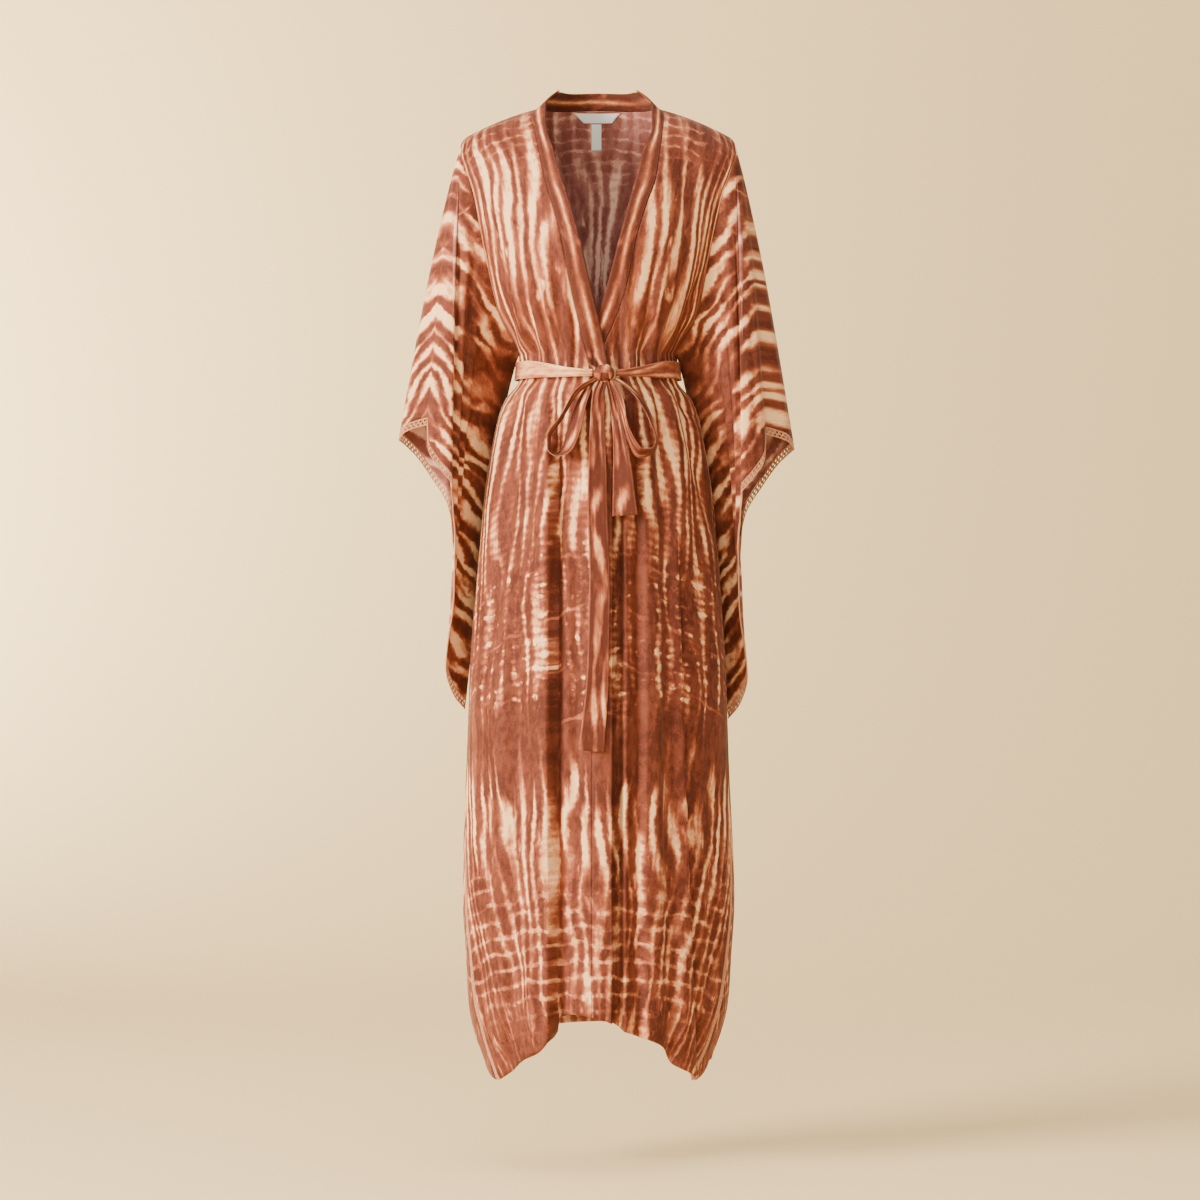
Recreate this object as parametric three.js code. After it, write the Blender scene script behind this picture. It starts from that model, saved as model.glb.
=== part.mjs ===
// A long open kimono coat with its own tie belt, held as if worn and open inside.
// Millimetres. +Z is up, -Y is the front. The origin is the middle of the neck, level with the shoulders.
// Left and right are the wearer's: the right side is at -X, and the right front laps over the left one.
import * as THREE from 'three';

// Cloth
const CLOTH = 1.6;
const DOUBLE_CLOTH = 2.4;
const LACE = 1.4;
const PAPER_THIN = 0.9;
const SEAM = 0.4;

// Body
const SHOULDER_TOP = 14;
const SHOULDER_DROP = 49;
const ARMHOLE_TOP = -35;
const ARMHOLE_DEPTH = 298;
const WAIST = ARMHOLE_TOP - ARMHOLE_DEPTH;
const NECK_HALF = 84;
const NECK_BACK = 60;
const NECK_BLEND = 24;
const NECK_SQUARE = 2.4;
const NECK_SOFT = 0.6;
const NECK_DROP = 6;
const RIDGE = 4;
const YOKE = 0.2;
const HEM_FRONT = 1230;
const HEM_SIDE = 1300;
const DEGREE = Math.PI / 180;

// Belt
const BELT_MIDDLE = -356;
const BELT_HALF_HEIGHT = 12;
const BELT_CLOTH = 2.6;
const BELT_OUT = 3.2;
const BELT_NARROWS = 60;
const BELT_AT_KNOT = 0.2;
const BOW_CLOTH = 2.08;
const KNOT = { x: 8, y: -102, z: -364, wide: 29, deep: 17, high: 23 };
const KNOT_GAP = 0.4;
const KNOT_DRAWN = 0.16;
const KNOT_DRAWN_HALF = 0.35;

// Lace
const CUFF_LACE_SHARE = 0.028;
const CUFF_GAP_SHARE = 0.0018;
const SIDE_LACE_TOP = -985;
const SIDE_LACE_HALF_DEGREES = 1.7;

// The armhole rows, from the shoulder (0) to the underarm (1). They lie close where the sleeve folds begin.
const ARMHOLE_ROWS = [
  0, 0.012, 0.026, 0.042, 0.06, 0.08, 0.1, 0.14, 0.19, 0.25, 0.32, 0.39, 0.47, 0.55, 0.63, 0.71, 0.79, 0.87, 0.94, 1,
];
const BELT_ROWS = [0.018, 0.04];
const SKIRT_ROWS = 15;
const BELT_STEPS = 46;
const BAND_STEPS = 14;
const LABEL_STEPS = 6;
const FRONT_COLUMNS = 14;
const BACK_COLUMNS = 24;
const SLEEVE_SECTIONS = 10;
const LOOP_STEPS = 30;
const LONG_TAIL_STEPS = 16;
const SHORT_TAIL_STEPS = 9;

// Chest and back, by share of the armhole's depth: half width, depth at the middle and at the armhole, and how
// sharply each row turns from the one to the other.
const CHEST = [
  { share: 0, half: 180, front: 4, back: 4, frontSeam: 4, backSeam: 4, turn: 2.2 },
  { share: 0.03, half: 185, front: -22, back: 34, frontSeam: -14, backSeam: 20, turn: 2 },
  { share: 0.08, half: 187, front: -44, back: 56, frontSeam: -26, backSeam: 33, turn: 1.8 },
  { share: 0.15, half: 181, front: -63, back: 71, frontSeam: -36, backSeam: 43, turn: 1.7 },
  { share: 0.28, half: 168, front: -86, back: 84, frontSeam: -43, backSeam: 50, turn: 1.6 },
  { share: 0.42, half: 160, front: -101, back: 90, frontSeam: -44, backSeam: 51, turn: 1.5 },
  { share: 0.6, half: 150, front: -108, back: 91, frontSeam: -40, backSeam: 48, turn: 1.4 },
  { share: 0.81, half: 136, front: -99, back: 84, frontSeam: -24, backSeam: 34, turn: 1.2 },
  { share: 0.94, half: 119, front: -89, back: 79, frontSeam: -6, backSeam: 17, turn: 1.05 },
  { share: 1, half: 109, front: -86, back: 78, frontSeam: 6, backSeam: 6, turn: 1 },
];

// The skirt, by height below the neck: half width, depths at the middle, and the angle of the side seam.
const SKIRT = [
  { below: 333, half: 109, front: -86, back: 78, seam: 90 },
  { below: 350, half: 109, front: -86, back: 78, seam: 90 },
  { below: 368, half: 111, front: -87, back: 80, seam: 90 },
  { below: 392, half: 128, front: -94, back: 90, seam: 90 },
  { below: 447, half: 144, front: -104, back: 102, seam: 90 },
  { below: 560, half: 160, front: -111, back: 116, seam: 90 },
  { below: 674, half: 169, front: -115, back: 121, seam: 88 },
  { below: 820, half: 177, front: -119, back: 122, seam: 84 },
  { below: 1080, half: 185, front: -123, back: 124, seam: 76 },
  { below: 1150, half: 181, front: -123, back: 124, seam: 74 },
  { below: 1219, half: 177, front: -122, back: 124, seam: 71 },
  { below: 1261, half: 169, front: -121, back: 123, seam: 69 },
  { below: 1291, half: 160, front: -120, back: 122, seam: 67 },
  { below: 1340, half: 147, front: -118, back: 120, seam: 65 },
];

// How far the hem hangs below the neck, by angle round the body from the middle of the front.
const HEM = [
  { angle: -180, below: 1259 },
  { angle: -130, below: 1270 },
  { angle: -95, below: 1294 },
  { angle: -68, below: 1321 },
  { angle: -54, below: 1308 },
  { angle: -40, below: 1289 },
  { angle: -31, below: 1279 },
  { angle: -23.5, below: 1262 },
  { angle: -19.5, below: 1230 },
  { angle: -10, below: 1225 },
  { angle: 0, below: 1229 },
  { angle: 6, below: 1236 },
  { angle: 12, below: 1247 },
  { angle: 20, below: 1255 },
  { angle: 34, below: 1272 },
  { angle: 42, below: 1294 },
  { angle: 54, below: 1309 },
  { angle: 68, below: 1322 },
  { angle: 95, below: 1294 },
  { angle: 130, below: 1270 },
  { angle: 180, below: 1259 },
];

// Where the neckband's seam and free edge run on each front, by share of the armhole's depth.
const BAND = [
  { share: 0, rightSeam: -84, rightEdge: -53, leftSeam: 84, leftEdge: 53 },
  { share: 0.04, rightSeam: -91, rightEdge: -71, leftSeam: 90, leftEdge: 73 },
  { share: 0.1, rightSeam: -86, rightEdge: -70, leftSeam: 88, leftEdge: 73 },
  { share: 0.19, rightSeam: -80, rightEdge: -61, leftSeam: 84, leftEdge: 62 },
  { share: 0.31, rightSeam: -72, rightEdge: -50, leftSeam: 78, leftEdge: 52 },
  { share: 0.42, rightSeam: -62, rightEdge: -38, leftSeam: 66, leftEdge: 42 },
  { share: 0.55, rightSeam: -50, rightEdge: -26, leftSeam: 53, leftEdge: 30 },
  { share: 0.78, rightSeam: -36, rightEdge: -7, leftSeam: 36, leftEdge: 9 },
  { share: 0.9, rightSeam: -26, rightEdge: 3, leftSeam: 20, leftEdge: -6 },
  { share: 1, rightSeam: -16, rightEdge: 10, leftSeam: 4, leftEdge: -22 },
];
const BAND_RIGHT_EDGE = 19;
const BAND_LEFT_EDGE = -62;
const BAND_WIDTH = 27;
const BAND_TURNS_BELOW = 40;
const BAND_LIFT = 20;
const BAND_LIFT_SHARE = 0.1;

// The neckband behind the neck: how far its foot stands off the back's seam, and its height, lean and top width
const BACK_BAND = { out: 0.8, up: 1.84, high: 24, lean: 0.85, narrow: 0.64 };

// Large folds: place across at the belt and at the hem, depth, width, which side of the edge sinks (0 for a soft
// trough), and the heights below the neck between which each one runs.
const FOLDS = [
  { side: 'front', belt: -66, hem: -67, deep: 15, wide: 24, sinks: 1, from: 385, to: 1400 },
  { side: 'front', belt: -24, hem: -34, deep: 5, wide: 13, sinks: 0, from: 400, to: 1400 },
  { side: 'front', belt: -98, hem: -128, deep: 8, wide: 17, sinks: 0, from: 380, to: 1400 },
  { side: 'front', belt: 62, hem: 64, deep: 9, wide: 20, sinks: -1, from: 380, to: 1400 },
  { side: 'front', belt: 88, hem: 104, deep: 9, wide: 15, sinks: 0, from: 380, to: 1400 },
  { side: 'front', belt: 100, hem: 134, deep: 10, wide: 17, sinks: 1, from: 560, to: 1400 },
  { side: 'back', belt: 0, hem: 0, deep: 9, wide: 18, sinks: 0, from: 380, to: 1400 },
  { side: 'back', belt: -44, hem: -62, deep: 12, wide: 22, sinks: -1, from: 380, to: 1400 },
  { side: 'back', belt: 40, hem: 58, deep: 13, wide: 22, sinks: 1, from: 380, to: 1400 },
  { side: 'back', belt: -82, hem: -120, deep: 9, wide: 18, sinks: 0, from: 400, to: 1400 },
  { side: 'back', belt: 84, hem: 116, deep: 8, wide: 17, sinks: 0, from: 420, to: 1400 },
];
const FOLD_STEEP = 7;
const FOLD_FADE = 110;

// Gathers that the belt draws in, above and below it.
const GATHER_DEPTH = 2.2;
const GATHER_WIDTH = 30;
const GATHER_REACH = 75;

// The left front lies under the right one, and sinks in further below the belt.
const UNDER_LAP = 5.4;
const UNDER_LAP_SKIRT = 15;
const UNDER_LAP_END = 21;
const UNDER_LAP_RISE = 15;
const UNDER_LAP_CHEST = { from: 0.6, to: 0.78 };
const UNDER_LAP_BELOW = { from: 0.03, to: 0.12 };

// Each sleeve's open end, by share of the armhole's depth: the front and the back of the cuff, for the right side.
const CUFF = [
  { share: 0, front: [273, 0, -450], back: [273, 0, -450] },
  { share: 0.012, front: [263, -23, -440], back: [266, 20, -456] },
  { share: 0.026, front: [233, -32, -431], back: [254, 33, -468] },
  { share: 0.042, front: [230, -50, -466], back: [240, 41, -486] },
  { share: 0.06, front: [214, -57, -492], back: [228, 46, -504] },
  { share: 0.08, front: [197, -58, -515], back: [216, 48, -522] },
  { share: 0.1, front: [196, -47, -536], back: [209, 48, -536] },
  { share: 0.14, front: [196, -36, -562], back: [203, 48, -560] },
  { share: 0.25, front: [196, -25, -612], back: [200, 48, -604] },
  { share: 0.39, front: [197, -14, -664], back: [200, 48, -656] },
  { share: 0.55, front: [204, -3, -716], back: [204, 48, -708] },
  { share: 0.71, front: [209, 9, -764], back: [206, 48, -752] },
  { share: 0.87, front: [199, 25, -800], back: [198, 47, -796] },
  { share: 1, front: [184, 41, -820], back: [184, 41, -820] },
];

// How far the sleeve's cloth bows out part way down, by share of the armhole's depth.
const BOW_EARLY = 0.65;
const SLEEVE_BOW = [
  { share: 0, out: 9, front: 0, back: 0 },
  { share: 0.026, out: 8, front: -10, back: 12 },
  { share: 0.08, out: 2, front: -14, back: 14 },
  { share: 0.1, out: 3, front: -12, back: 15 },
  { share: 0.14, out: 4, front: -12, back: 16 },
  { share: 0.25, out: 4, front: -10, back: 20 },
  { share: 0.55, out: 6, front: -2, back: 26 },
  { share: 0.79, out: 12, front: 4, back: 32 },
  { share: 0.94, out: 18, front: 18, back: 36 },
  { share: 1, out: 20, front: 36, back: 36 },
];

// Where the sleeve turns away from the panel that it is sewn to, its edge turns with it and stands off further.
const MITRE = { from: 0.5, to: 0.95, gap: 1.6 };

// The left cuff hangs a little nearer the body and lower than the right one.
const LEFT_CUFF_SHIFT = { out: -4, down: 13 };

const COLOUR = { cloth: 0xba6850, band: 0xb0604a, belt: 0xc07458, lace: 0xdcb48c, label: 0xe4e8e2 };

// A smooth line through one column of a table, without overshoot between its rows
function follow(rows, key, column) {
  const at = rows.map((row) => row[key]);
  const value = rows.map((row) => row[column]);
  const last = at.length - 1;
  const rise = at.slice(1).map((x, i) => (value[i + 1] - value[i]) / (x - at[i]));
  const slope = at.map((x, i) => {
    const before = rise[Math.max(i - 1, 0)];
    const after = rise[Math.min(i, last - 1)];
    return before * after <= 0 ? 0 : (2 * before * after) / (before + after);
  });
  return (x) => {
    if (x <= at[0]) return value[0];
    if (x >= at[last]) return value[last];
    const i = at.findIndex((start, k) => k < last && x <= at[k + 1]);
    const step = at[i + 1] - at[i];
    const t = (x - at[i]) / step;
    const ease = t * t * (3 - 2 * t);
    return (
      value[i] * (1 - ease) +
      value[i + 1] * ease +
      step * (slope[i] * t * (1 - t) ** 2 - slope[i + 1] * t * t * (1 - t))
    );
  };
}

function columns(rows, key) {
  const names = Object.keys(rows[0]).filter((name) => name !== key && typeof rows[0][name] === 'number');
  return Object.fromEntries(names.map((name) => [name, follow(rows, key, name)]));
}

function mix(a, b, share) {
  return a + (b - a) * share;
}

function smooth(from, to, x) {
  const t = Math.min(Math.max((x - from) / (to - from), 0), 1);
  return t * t * (3 - 2 * t);
}

const chest = columns(CHEST, 'share');
const skirt = columns(SKIRT, 'below');
const hem = columns(HEM, 'angle');
const band = columns(BAND, 'share');
const bow = columns(SLEEVE_BOW, 'share');

// How far the cloth sinks in at one place, from its folds and the belt's gathers
function sunk(side, x, z) {
  const below = -z;
  let depth = 0;
  for (const fold of FOLDS.filter((row) => row.side === side)) {
    const along = (below + WAIST) / (HEM_SIDE + WAIST);
    const from = x - mix(fold.belt, fold.hem, along);
    const reach = smooth(fold.from, fold.from + FOLD_FADE, below) * smooth(fold.to, fold.to - FOLD_FADE, below);
    const past = fold.sinks * from;
    const edge = fold.sinks === 0 ? 1 : smooth(0, FOLD_STEEP, past);
    depth += fold.deep * reach * edge * Math.exp(-((from / fold.wide) ** 2));
  }
  const gather = Math.exp(-(((z - BELT_MIDDLE) / GATHER_REACH) ** 2));
  return depth + GATHER_DEPTH * gather * (1 + Math.cos((2 * Math.PI * x) / GATHER_WIDTH));
}

// The cloth of the body above the waist: angle round it, and share of the armhole's depth
function chestPoint(angle, share) {
  const isFront = Math.cos(angle * DEGREE) > 0;
  const half = chest.half(share);
  const across = Math.sin(angle * DEGREE);
  const x = half * across;
  const middle = isFront ? chest.front(share) : chest.back(share);
  const seam = isFront ? chest.frontSeam(share) : chest.backSeam(share);
  const round = Math.abs(Math.cos(angle * DEGREE)) ** chest.turn(share);
  let y = mix(seam, middle, round);
  let z = SHOULDER_TOP - share * (SHOULDER_TOP - WAIST) - SHOULDER_DROP * (1 - share) * across * across;
  if (!isFront && share < YOKE) {
    const low = chestPoint(angle, YOKE);
    const part = share / YOKE;
    const inNeck = Math.max(1 - (Math.abs(x) / NECK_HALF) ** NECK_SQUARE, 0);
    const topY = RIDGE + (NECK_BACK - RIDGE) * inNeck ** NECK_SOFT;
    const topZ = SHOULDER_TOP - SHOULDER_DROP * across * across - NECK_DROP * inNeck;
    const open = 1 - smooth(NECK_HALF - NECK_BLEND, NECK_HALF + NECK_BLEND, Math.abs(x));
    y = mix(y, mix(topY, low.y, part), open);
    z = mix(z, mix(topZ, low.z, part), open);
  }
  const deep = sunk(isFront ? 'front' : 'back', x, z);
  return new THREE.Vector3(x - deep * across, y + deep * Math.cos(angle * DEGREE), z);
}

// The cloth of the body below the waist
function skirtPoint(angle, z) {
  const below = -z;
  const across = Math.sin(angle * DEGREE);
  const ahead = Math.cos(angle * DEGREE);
  const seamY = chest.frontSeam(1);
  const middle = ahead > 0 ? skirt.front(below) : skirt.back(below);
  const x = skirt.half(below) * across;
  const y = mix(seamY, middle, Math.abs(ahead));
  const deep = sunk(ahead > 0 ? 'front' : 'back', x, z);
  return new THREE.Vector3(x - deep * across, y + deep * ahead, z);
}

// Rows of the body from the shoulder to the hem; a row above the waist has a share, one below it has a depth
const BODY_ROWS = [
  ...ARMHOLE_ROWS.map((share) => ({ share })),
  ...BELT_ROWS.map((fall) => ({ share: 1, fall })),
  ...Array.from({ length: SKIRT_ROWS }, (_, i) => ({ share: 1, fall: mix(BELT_ROWS[1], 1, (i + 1) / SKIRT_ROWS) })),
];

function bodyPoint(angle, row) {
  if (!row.fall) return chestPoint(angle, row.share);
  const turned = ((((angle + 180) % 360) + 360) % 360) - 180;
  return skirtPoint(angle, mix(WAIST, -hem.below(turned), row.fall));
}

function rowHeight(row) {
  return row.fall ? mix(WAIST, -hem.below(0), row.fall) : SHOULDER_TOP - row.share * (SHOULDER_TOP - WAIST);
}

function halfWidth(row) {
  return row.fall ? skirt.half(-rowHeight(row)) : chest.half(row.share);
}

function angleAt(x, row) {
  return Math.asin(THREE.MathUtils.clamp(x / halfWidth(row), -1, 1)) / DEGREE;
}

// Where the band is sewn on and where it ends, across the front
function bandLine(name, row) {
  if (!row.fall) return band[name](row.share);
  const edge = name.startsWith('right') ? BAND_RIGHT_EDGE : BAND_LEFT_EDGE;
  const inward = name.startsWith('right') ? -1 : 1;
  const line = name.endsWith('Edge') ? edge : edge + inward * BAND_WIDTH;
  return mix(band[name](1), line, smooth(0, BAND_TURNS_BELOW / (HEM_FRONT + WAIST), row.fall));
}

// The left front sinks in under the right one
function tuck(point, row) {
  const skirtShare = row.fall ? smooth(UNDER_LAP_BELOW.from, UNDER_LAP_BELOW.to, row.fall) : 0;
  const depth = mix(UNDER_LAP, UNDER_LAP_SKIRT, skirtShare);
  const above = row.fall ? 1 : smooth(UNDER_LAP_CHEST.from, UNDER_LAP_CHEST.to, row.share);
  const near = 1 - smooth(UNDER_LAP_END, UNDER_LAP_END + UNDER_LAP_RISE, point.x);
  point.y += depth * near * above;
  return point;
}

// A wall of cloth on a grid of points: two skins and a rim. A closed grid is a tube.
function wall(grid, thick, closed, firstNormals = null) {
  const rows = grid.length;
  const count = grid[0].length;
  const positions = [];
  const half = thick / 2;
  const normals = facing(grid, closed);
  if (firstNormals) {
    const agree = firstNormals.reduce((sum, normal, j) => sum + (normal ? normal.dot(normals[0][j]) : 0), 0);
    normals[0] = firstNormals.map((normal, j) => normal?.clone().multiplyScalar(Math.sign(agree)) ?? normals[0][j]);
  }
  for (const way of [half, -half]) {
    for (let i = 0; i < rows; i++) {
      for (let j = 0; j < count; j++) {
        const point = grid[i][j].clone().addScaledVector(normals[i][j], way);
        positions.push(point.x, point.y, point.z);
      }
    }
  }
  const index = [];
  const size = rows * count;
  const quad = (a, b, c, d) => index.push(a, b, c, a, c, d);
  const wide = closed ? count : count - 1;
  for (let i = 0; i < rows - 1; i++) {
    for (let j = 0; j < wide; j++) {
      const next = (j + 1) % count;
      const a = i * count + j;
      const b = i * count + next;
      quad(a, a + count, b + count, b);
      quad(a + size, b + size, b + count + size, a + count + size);
    }
  }
  for (let j = 0; j < wide; j++) {
    const next = (j + 1) % count;
    const low = (rows - 1) * count;
    quad(j, next, next + size, j + size);
    quad(low + j, low + j + size, low + next + size, low + next);
  }
  if (!closed) {
    for (let i = 0; i < rows - 1; i++) {
      const a = i * count;
      const b = a + count - 1;
      quad(a, a + size, a + count + size, a + count);
      quad(b, b + count, b + count + size, b + size);
    }
  }
  const geometry = new THREE.BufferGeometry();
  geometry.setAttribute('position', new THREE.Float32BufferAttribute(positions, 3));
  geometry.setIndex(index);
  if (volume(geometry) < 0) {
    for (let k = 0; k < index.length; k += 3) [index[k + 1], index[k + 2]] = [index[k + 2], index[k + 1]];
    geometry.setIndex(index);
  }
  geometry.computeVertexNormals();
  return geometry;
}

function volume(geometry) {
  const place = geometry.attributes.position;
  const index = geometry.index.array;
  const corner = (k) => new THREE.Vector3().fromBufferAttribute(place, index[k]);
  let total = 0;
  for (let k = 0; k < index.length; k += 3) total += corner(k).dot(corner(k + 1).cross(corner(k + 2))) / 6;
  return total;
}

// The direction that each point of a grid faces. A closed grid is a tube.
function facing(grid, closed = false) {
  const rows = grid.length;
  const count = grid[0].length;
  const at = (i, j) => grid[Math.min(Math.max(i, 0), rows - 1)][
    closed ? (j + count) % count : Math.min(Math.max(j, 0), count - 1)
  ];
  return grid.map((line, i) =>
    line.map((_, j) => {
      const along = at(i + 1, j).clone().sub(at(i - 1, j));
      const around = at(i, j + 1).clone().sub(at(i, j - 1));
      return along.cross(around).normalize();
    })
  );
}

const coat = new THREE.Group();

function add(name, geometry, colour) {
  const material = new THREE.MeshStandardMaterial({ color: colour, roughness: 0.85, metalness: 0 });
  const mesh = new THREE.Mesh(geometry, material);
  mesh.name = name;
  coat.add(mesh);
}

function seamAngle(row) {
  return row.fall ? skirt.seam(-mix(WAIST, -HEM_SIDE, row.fall)) : 90;
}

// Degrees from the side seam to the panel's edge: half the seam's gap, or half the lace where there is one
function seamGap(row, z) {
  const gap = SEAM / 2 / halfWidth(row) / DEGREE;
  return z < SIDE_LACE_TOP ? gap + SIDE_LACE_HALF_DEGREES : gap;
}

function sideGap(row) {
  return seamGap(row, mix(WAIST, -hem.below(seamAngle(row)), row.fall ?? 0));
}

// Fronts, each a grid from the band seam out to the armhole and side seam
function frontGrid(side) {
  const isLeft = side > 0;
  return BODY_ROWS.map((row) => {
    const seam = bandLine(isLeft ? 'leftSeam' : 'rightSeam', row) + side * SEAM;
    const start = angleAt(seam, row);
    const end = side * (seamAngle(row) - sideGap(row));
    const line = [];
    for (let j = 0; j <= FRONT_COLUMNS; j++) {
      const point = bodyPoint(mix(start, end, j / FRONT_COLUMNS), row);
      if (row === BODY_ROWS[0]) point.y -= SEAM / 2;
      line.push(isLeft ? tuck(point, row) : point);
    }
    return line;
  });
}

// Back, one grid from seam to seam round the back
function backGrid() {
  return BODY_ROWS.map((row) => {
    const start = seamAngle(row) + sideGap(row);
    const line = [];
    for (let j = 0; j <= BACK_COLUMNS; j++) {
      const point = bodyPoint(mix(start, 360 - start, j / BACK_COLUMNS), row);
      if (row === BODY_ROWS[0]) point.y += SEAM / 2;
      line.push(point);
    }
    return line;
  });
}

// Normals that keep the walls' ends upright and parallel along the shoulder seam
function shoulderNormals(line) {
  return line.map((point, j) => {
    if (Math.abs(point.x) < NECK_HALF) return null;
    const run = line[Math.min(j + 1, line.length - 1)].clone().sub(line[Math.max(j - 1, 0)]);
    const upright = new THREE.Vector3(-run.z, 0, run.x).normalize();
    return upright.z < 0 ? upright.negate() : upright;
  });
}

const rightFront = frontGrid(-1);
const leftFront = frontGrid(1);
const back = backGrid();

// The sleeve's ring at the armhole: down the front panel's edge and up the back panel's edge
function armholeRing(front, backColumn, backFacing, frontFacing) {
  const last = ARMHOLE_ROWS.length - 1;
  const lastColumn = FRONT_COLUMNS;
  const frontEdge = ARMHOLE_ROWS.map((_, i) => ({
    point: front[i][lastColumn],
    out: front[i][lastColumn].clone().sub(front[i][lastColumn - 1]).normalize(),
    normal: frontFacing[i][lastColumn],
  }));
  const step = backColumn === 0 ? 1 : -1;
  const backEdge = ARMHOLE_ROWS.map((_, i) => ({
    point: back[i][backColumn],
    out: back[i][backColumn].clone().sub(back[i][backColumn + step]).normalize(),
    normal: backFacing[i][backColumn],
  }));
  const outward = (edge) => (edge.normal.dot(edge.point.clone().setZ(0)) < 0 ? -1 : 1);
  const join = (a, b) => ({
    point: a.point.clone().add(b.point).multiplyScalar(0.5),
    out: a.out.clone().add(b.out).normalize(),
    normal: a.normal.clone().multiplyScalar(outward(a)).add(b.normal.clone().multiplyScalar(outward(b))).normalize(),
  });
  const ring = [{ ...join(frontEdge[0], backEdge[0]), share: 0, isFront: true }];
  for (let i = 1; i < last; i++) ring.push({ ...frontEdge[i], share: ARMHOLE_ROWS[i], isFront: true });
  ring.push({ ...join(frontEdge[last], backEdge[last]), share: 1, isFront: true });
  for (let i = last - 1; i > 0; i--) ring.push({ ...backEdge[i], share: ARMHOLE_ROWS[i], isFront: false });
  return ring.map((edge) => ({ ...edge, normal: edge.normal.clone().multiplyScalar(outward(edge)) }));
}

const cuffFront = [0, 1, 2].map((k) => follow(CUFF.map((row) => ({ share: row.share, v: row.front[k] })), 'share', 'v'));
const cuffBack = [0, 1, 2].map((k) => follow(CUFF.map((row) => ({ share: row.share, v: row.back[k] })), 'share', 'v'));

// A point of the sleeve: a share of its length, on the line that starts at one point of the armhole
function sleevePoint(side, edge, length, gap = SEAM) {
  const cuff = (edge.isFront ? cuffFront : cuffBack).map((line) => line(edge.share));
  const shift = side > 0 ? LEFT_CUFF_SHIFT : { out: 0, down: 0 };
  const end = new THREE.Vector3(side * (cuff[0] + shift.out), cuff[1], cuff[2] - shift.down);
  const start = edge.point.clone().addScaledVector(edge.out, gap);
  const bulge = Math.sin(Math.PI * length ** BOW_EARLY);
  const point = start.lerp(end, length);
  point.x += side * bulge * bow.out(edge.share);
  point.y += bulge * (edge.isFront ? bow.front(edge.share) : bow.back(edge.share));
  return point;
}

function sleeve(side, name) {
  const front = side > 0 ? leftFront : rightFront;
  const backColumn = side > 0 ? 0 : BACK_COLUMNS;
  const ring = armholeRing(front, backColumn, facing(back), facing(front));
  const end = 1 - CUFF_LACE_SHARE;
  const lengths = Array.from({ length: SLEEVE_SECTIONS + 1 }, (_, i) => (i / SLEEVE_SECTIONS) * end);
  const rough = lengths.map((length) => ring.map((edge) => sleevePoint(side, edge, length)));
  const own = facing(rough, true)[0];
  const agree = Math.sign(ring.reduce((sum, edge, j) => sum + edge.normal.dot(own[j]), 0));
  const turn = ring.map((edge, j) => 1 - smooth(MITRE.from, MITRE.to, agree * edge.normal.dot(own[j])));
  const mitre = ring.map((edge, j) => edge.normal.clone().lerp(own[j].multiplyScalar(agree), turn[j]).normalize());
  const sections = lengths.map((length) =>
    ring.map((edge, j) => sleevePoint(side, edge, length, SEAM + MITRE.gap * turn[j]))
  );
  add(`sleeve_${name}`, wall(sections, CLOTH, true, mitre), COLOUR.cloth);
  const lace = [end + CUFF_GAP_SHARE, 1].map((length) => ring.map((edge) => sleevePoint(side, edge, length)));
  add(`cuff_lace_${name}`, wall(lace, LACE, true), COLOUR.lace);
}

// Lace let into the lower end of a side seam
function sideLace(side, name) {
  const grid = [];
  for (const row of BODY_ROWS.filter((line) => line.fall && sideGap(line) > SIDE_LACE_HALF_DEGREES)) {
    const half = SIDE_LACE_HALF_DEGREES - SEAM / 2 / halfWidth(row) / DEGREE;
    grid.push([-1, 0, 1].map((way) => bodyPoint(side * (seamAngle(row) + way * half), row)));
  }
  add(`side_lace_${name}`, wall(grid, LACE, false), COLOUR.lace);
}

// The neckband on each front, from the shoulder to the hem
function frontBand(side, name) {
  const isLeft = side > 0;
  const key = isLeft ? 'left' : 'right';
  const grid = BODY_ROWS.map((row) => {
    const seam = bandLine(`${key}Seam`, row) - side * SEAM;
    const edge = bandLine(`${key}Edge`, row);
    const lift = row.fall ? 0 : BAND_LIFT * (1 - smooth(0, BAND_LIFT_SHARE, row.share));
    return [0, 0.5, 1].map((share) => {
      const point = bodyPoint(angleAt(mix(seam, edge, share), row), row);
      point.z += lift * share;
      if (row === BODY_ROWS[0]) point.y -= SEAM / 2;
      return isLeft ? tuck(point, row) : point;
    });
  });
  add(`neckband_${name}`, wall(grid, DOUBLE_CLOTH, false), COLOUR.band);
}

// The neckband round the back of the neck, standing up from the seam and leaning in
function backBand() {
  const row = BODY_ROWS[0];
  const grid = [];
  for (let i = 0; i <= BAND_STEPS; i++) {
    const x = mix(-NECK_HALF, NECK_HALF, i / BAND_STEPS);
    const seam = bodyPoint(180 - angleAt(x, row), row);
    seam.y += BACK_BAND.out;
    const edge = new THREE.Vector3(x * BACK_BAND.narrow, mix(RIDGE, seam.y, BACK_BAND.lean), seam.z + BACK_BAND.high);
    const rise = edge.clone().sub(seam).normalize();
    grid.push([0, 0.5, 1].map((share) => seam.clone().addScaledVector(rise, BACK_BAND.up).lerp(edge, share)));
  }
  add('neckband_back', wall(grid, DOUBLE_CLOTH, false), COLOUR.band);
}

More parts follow.
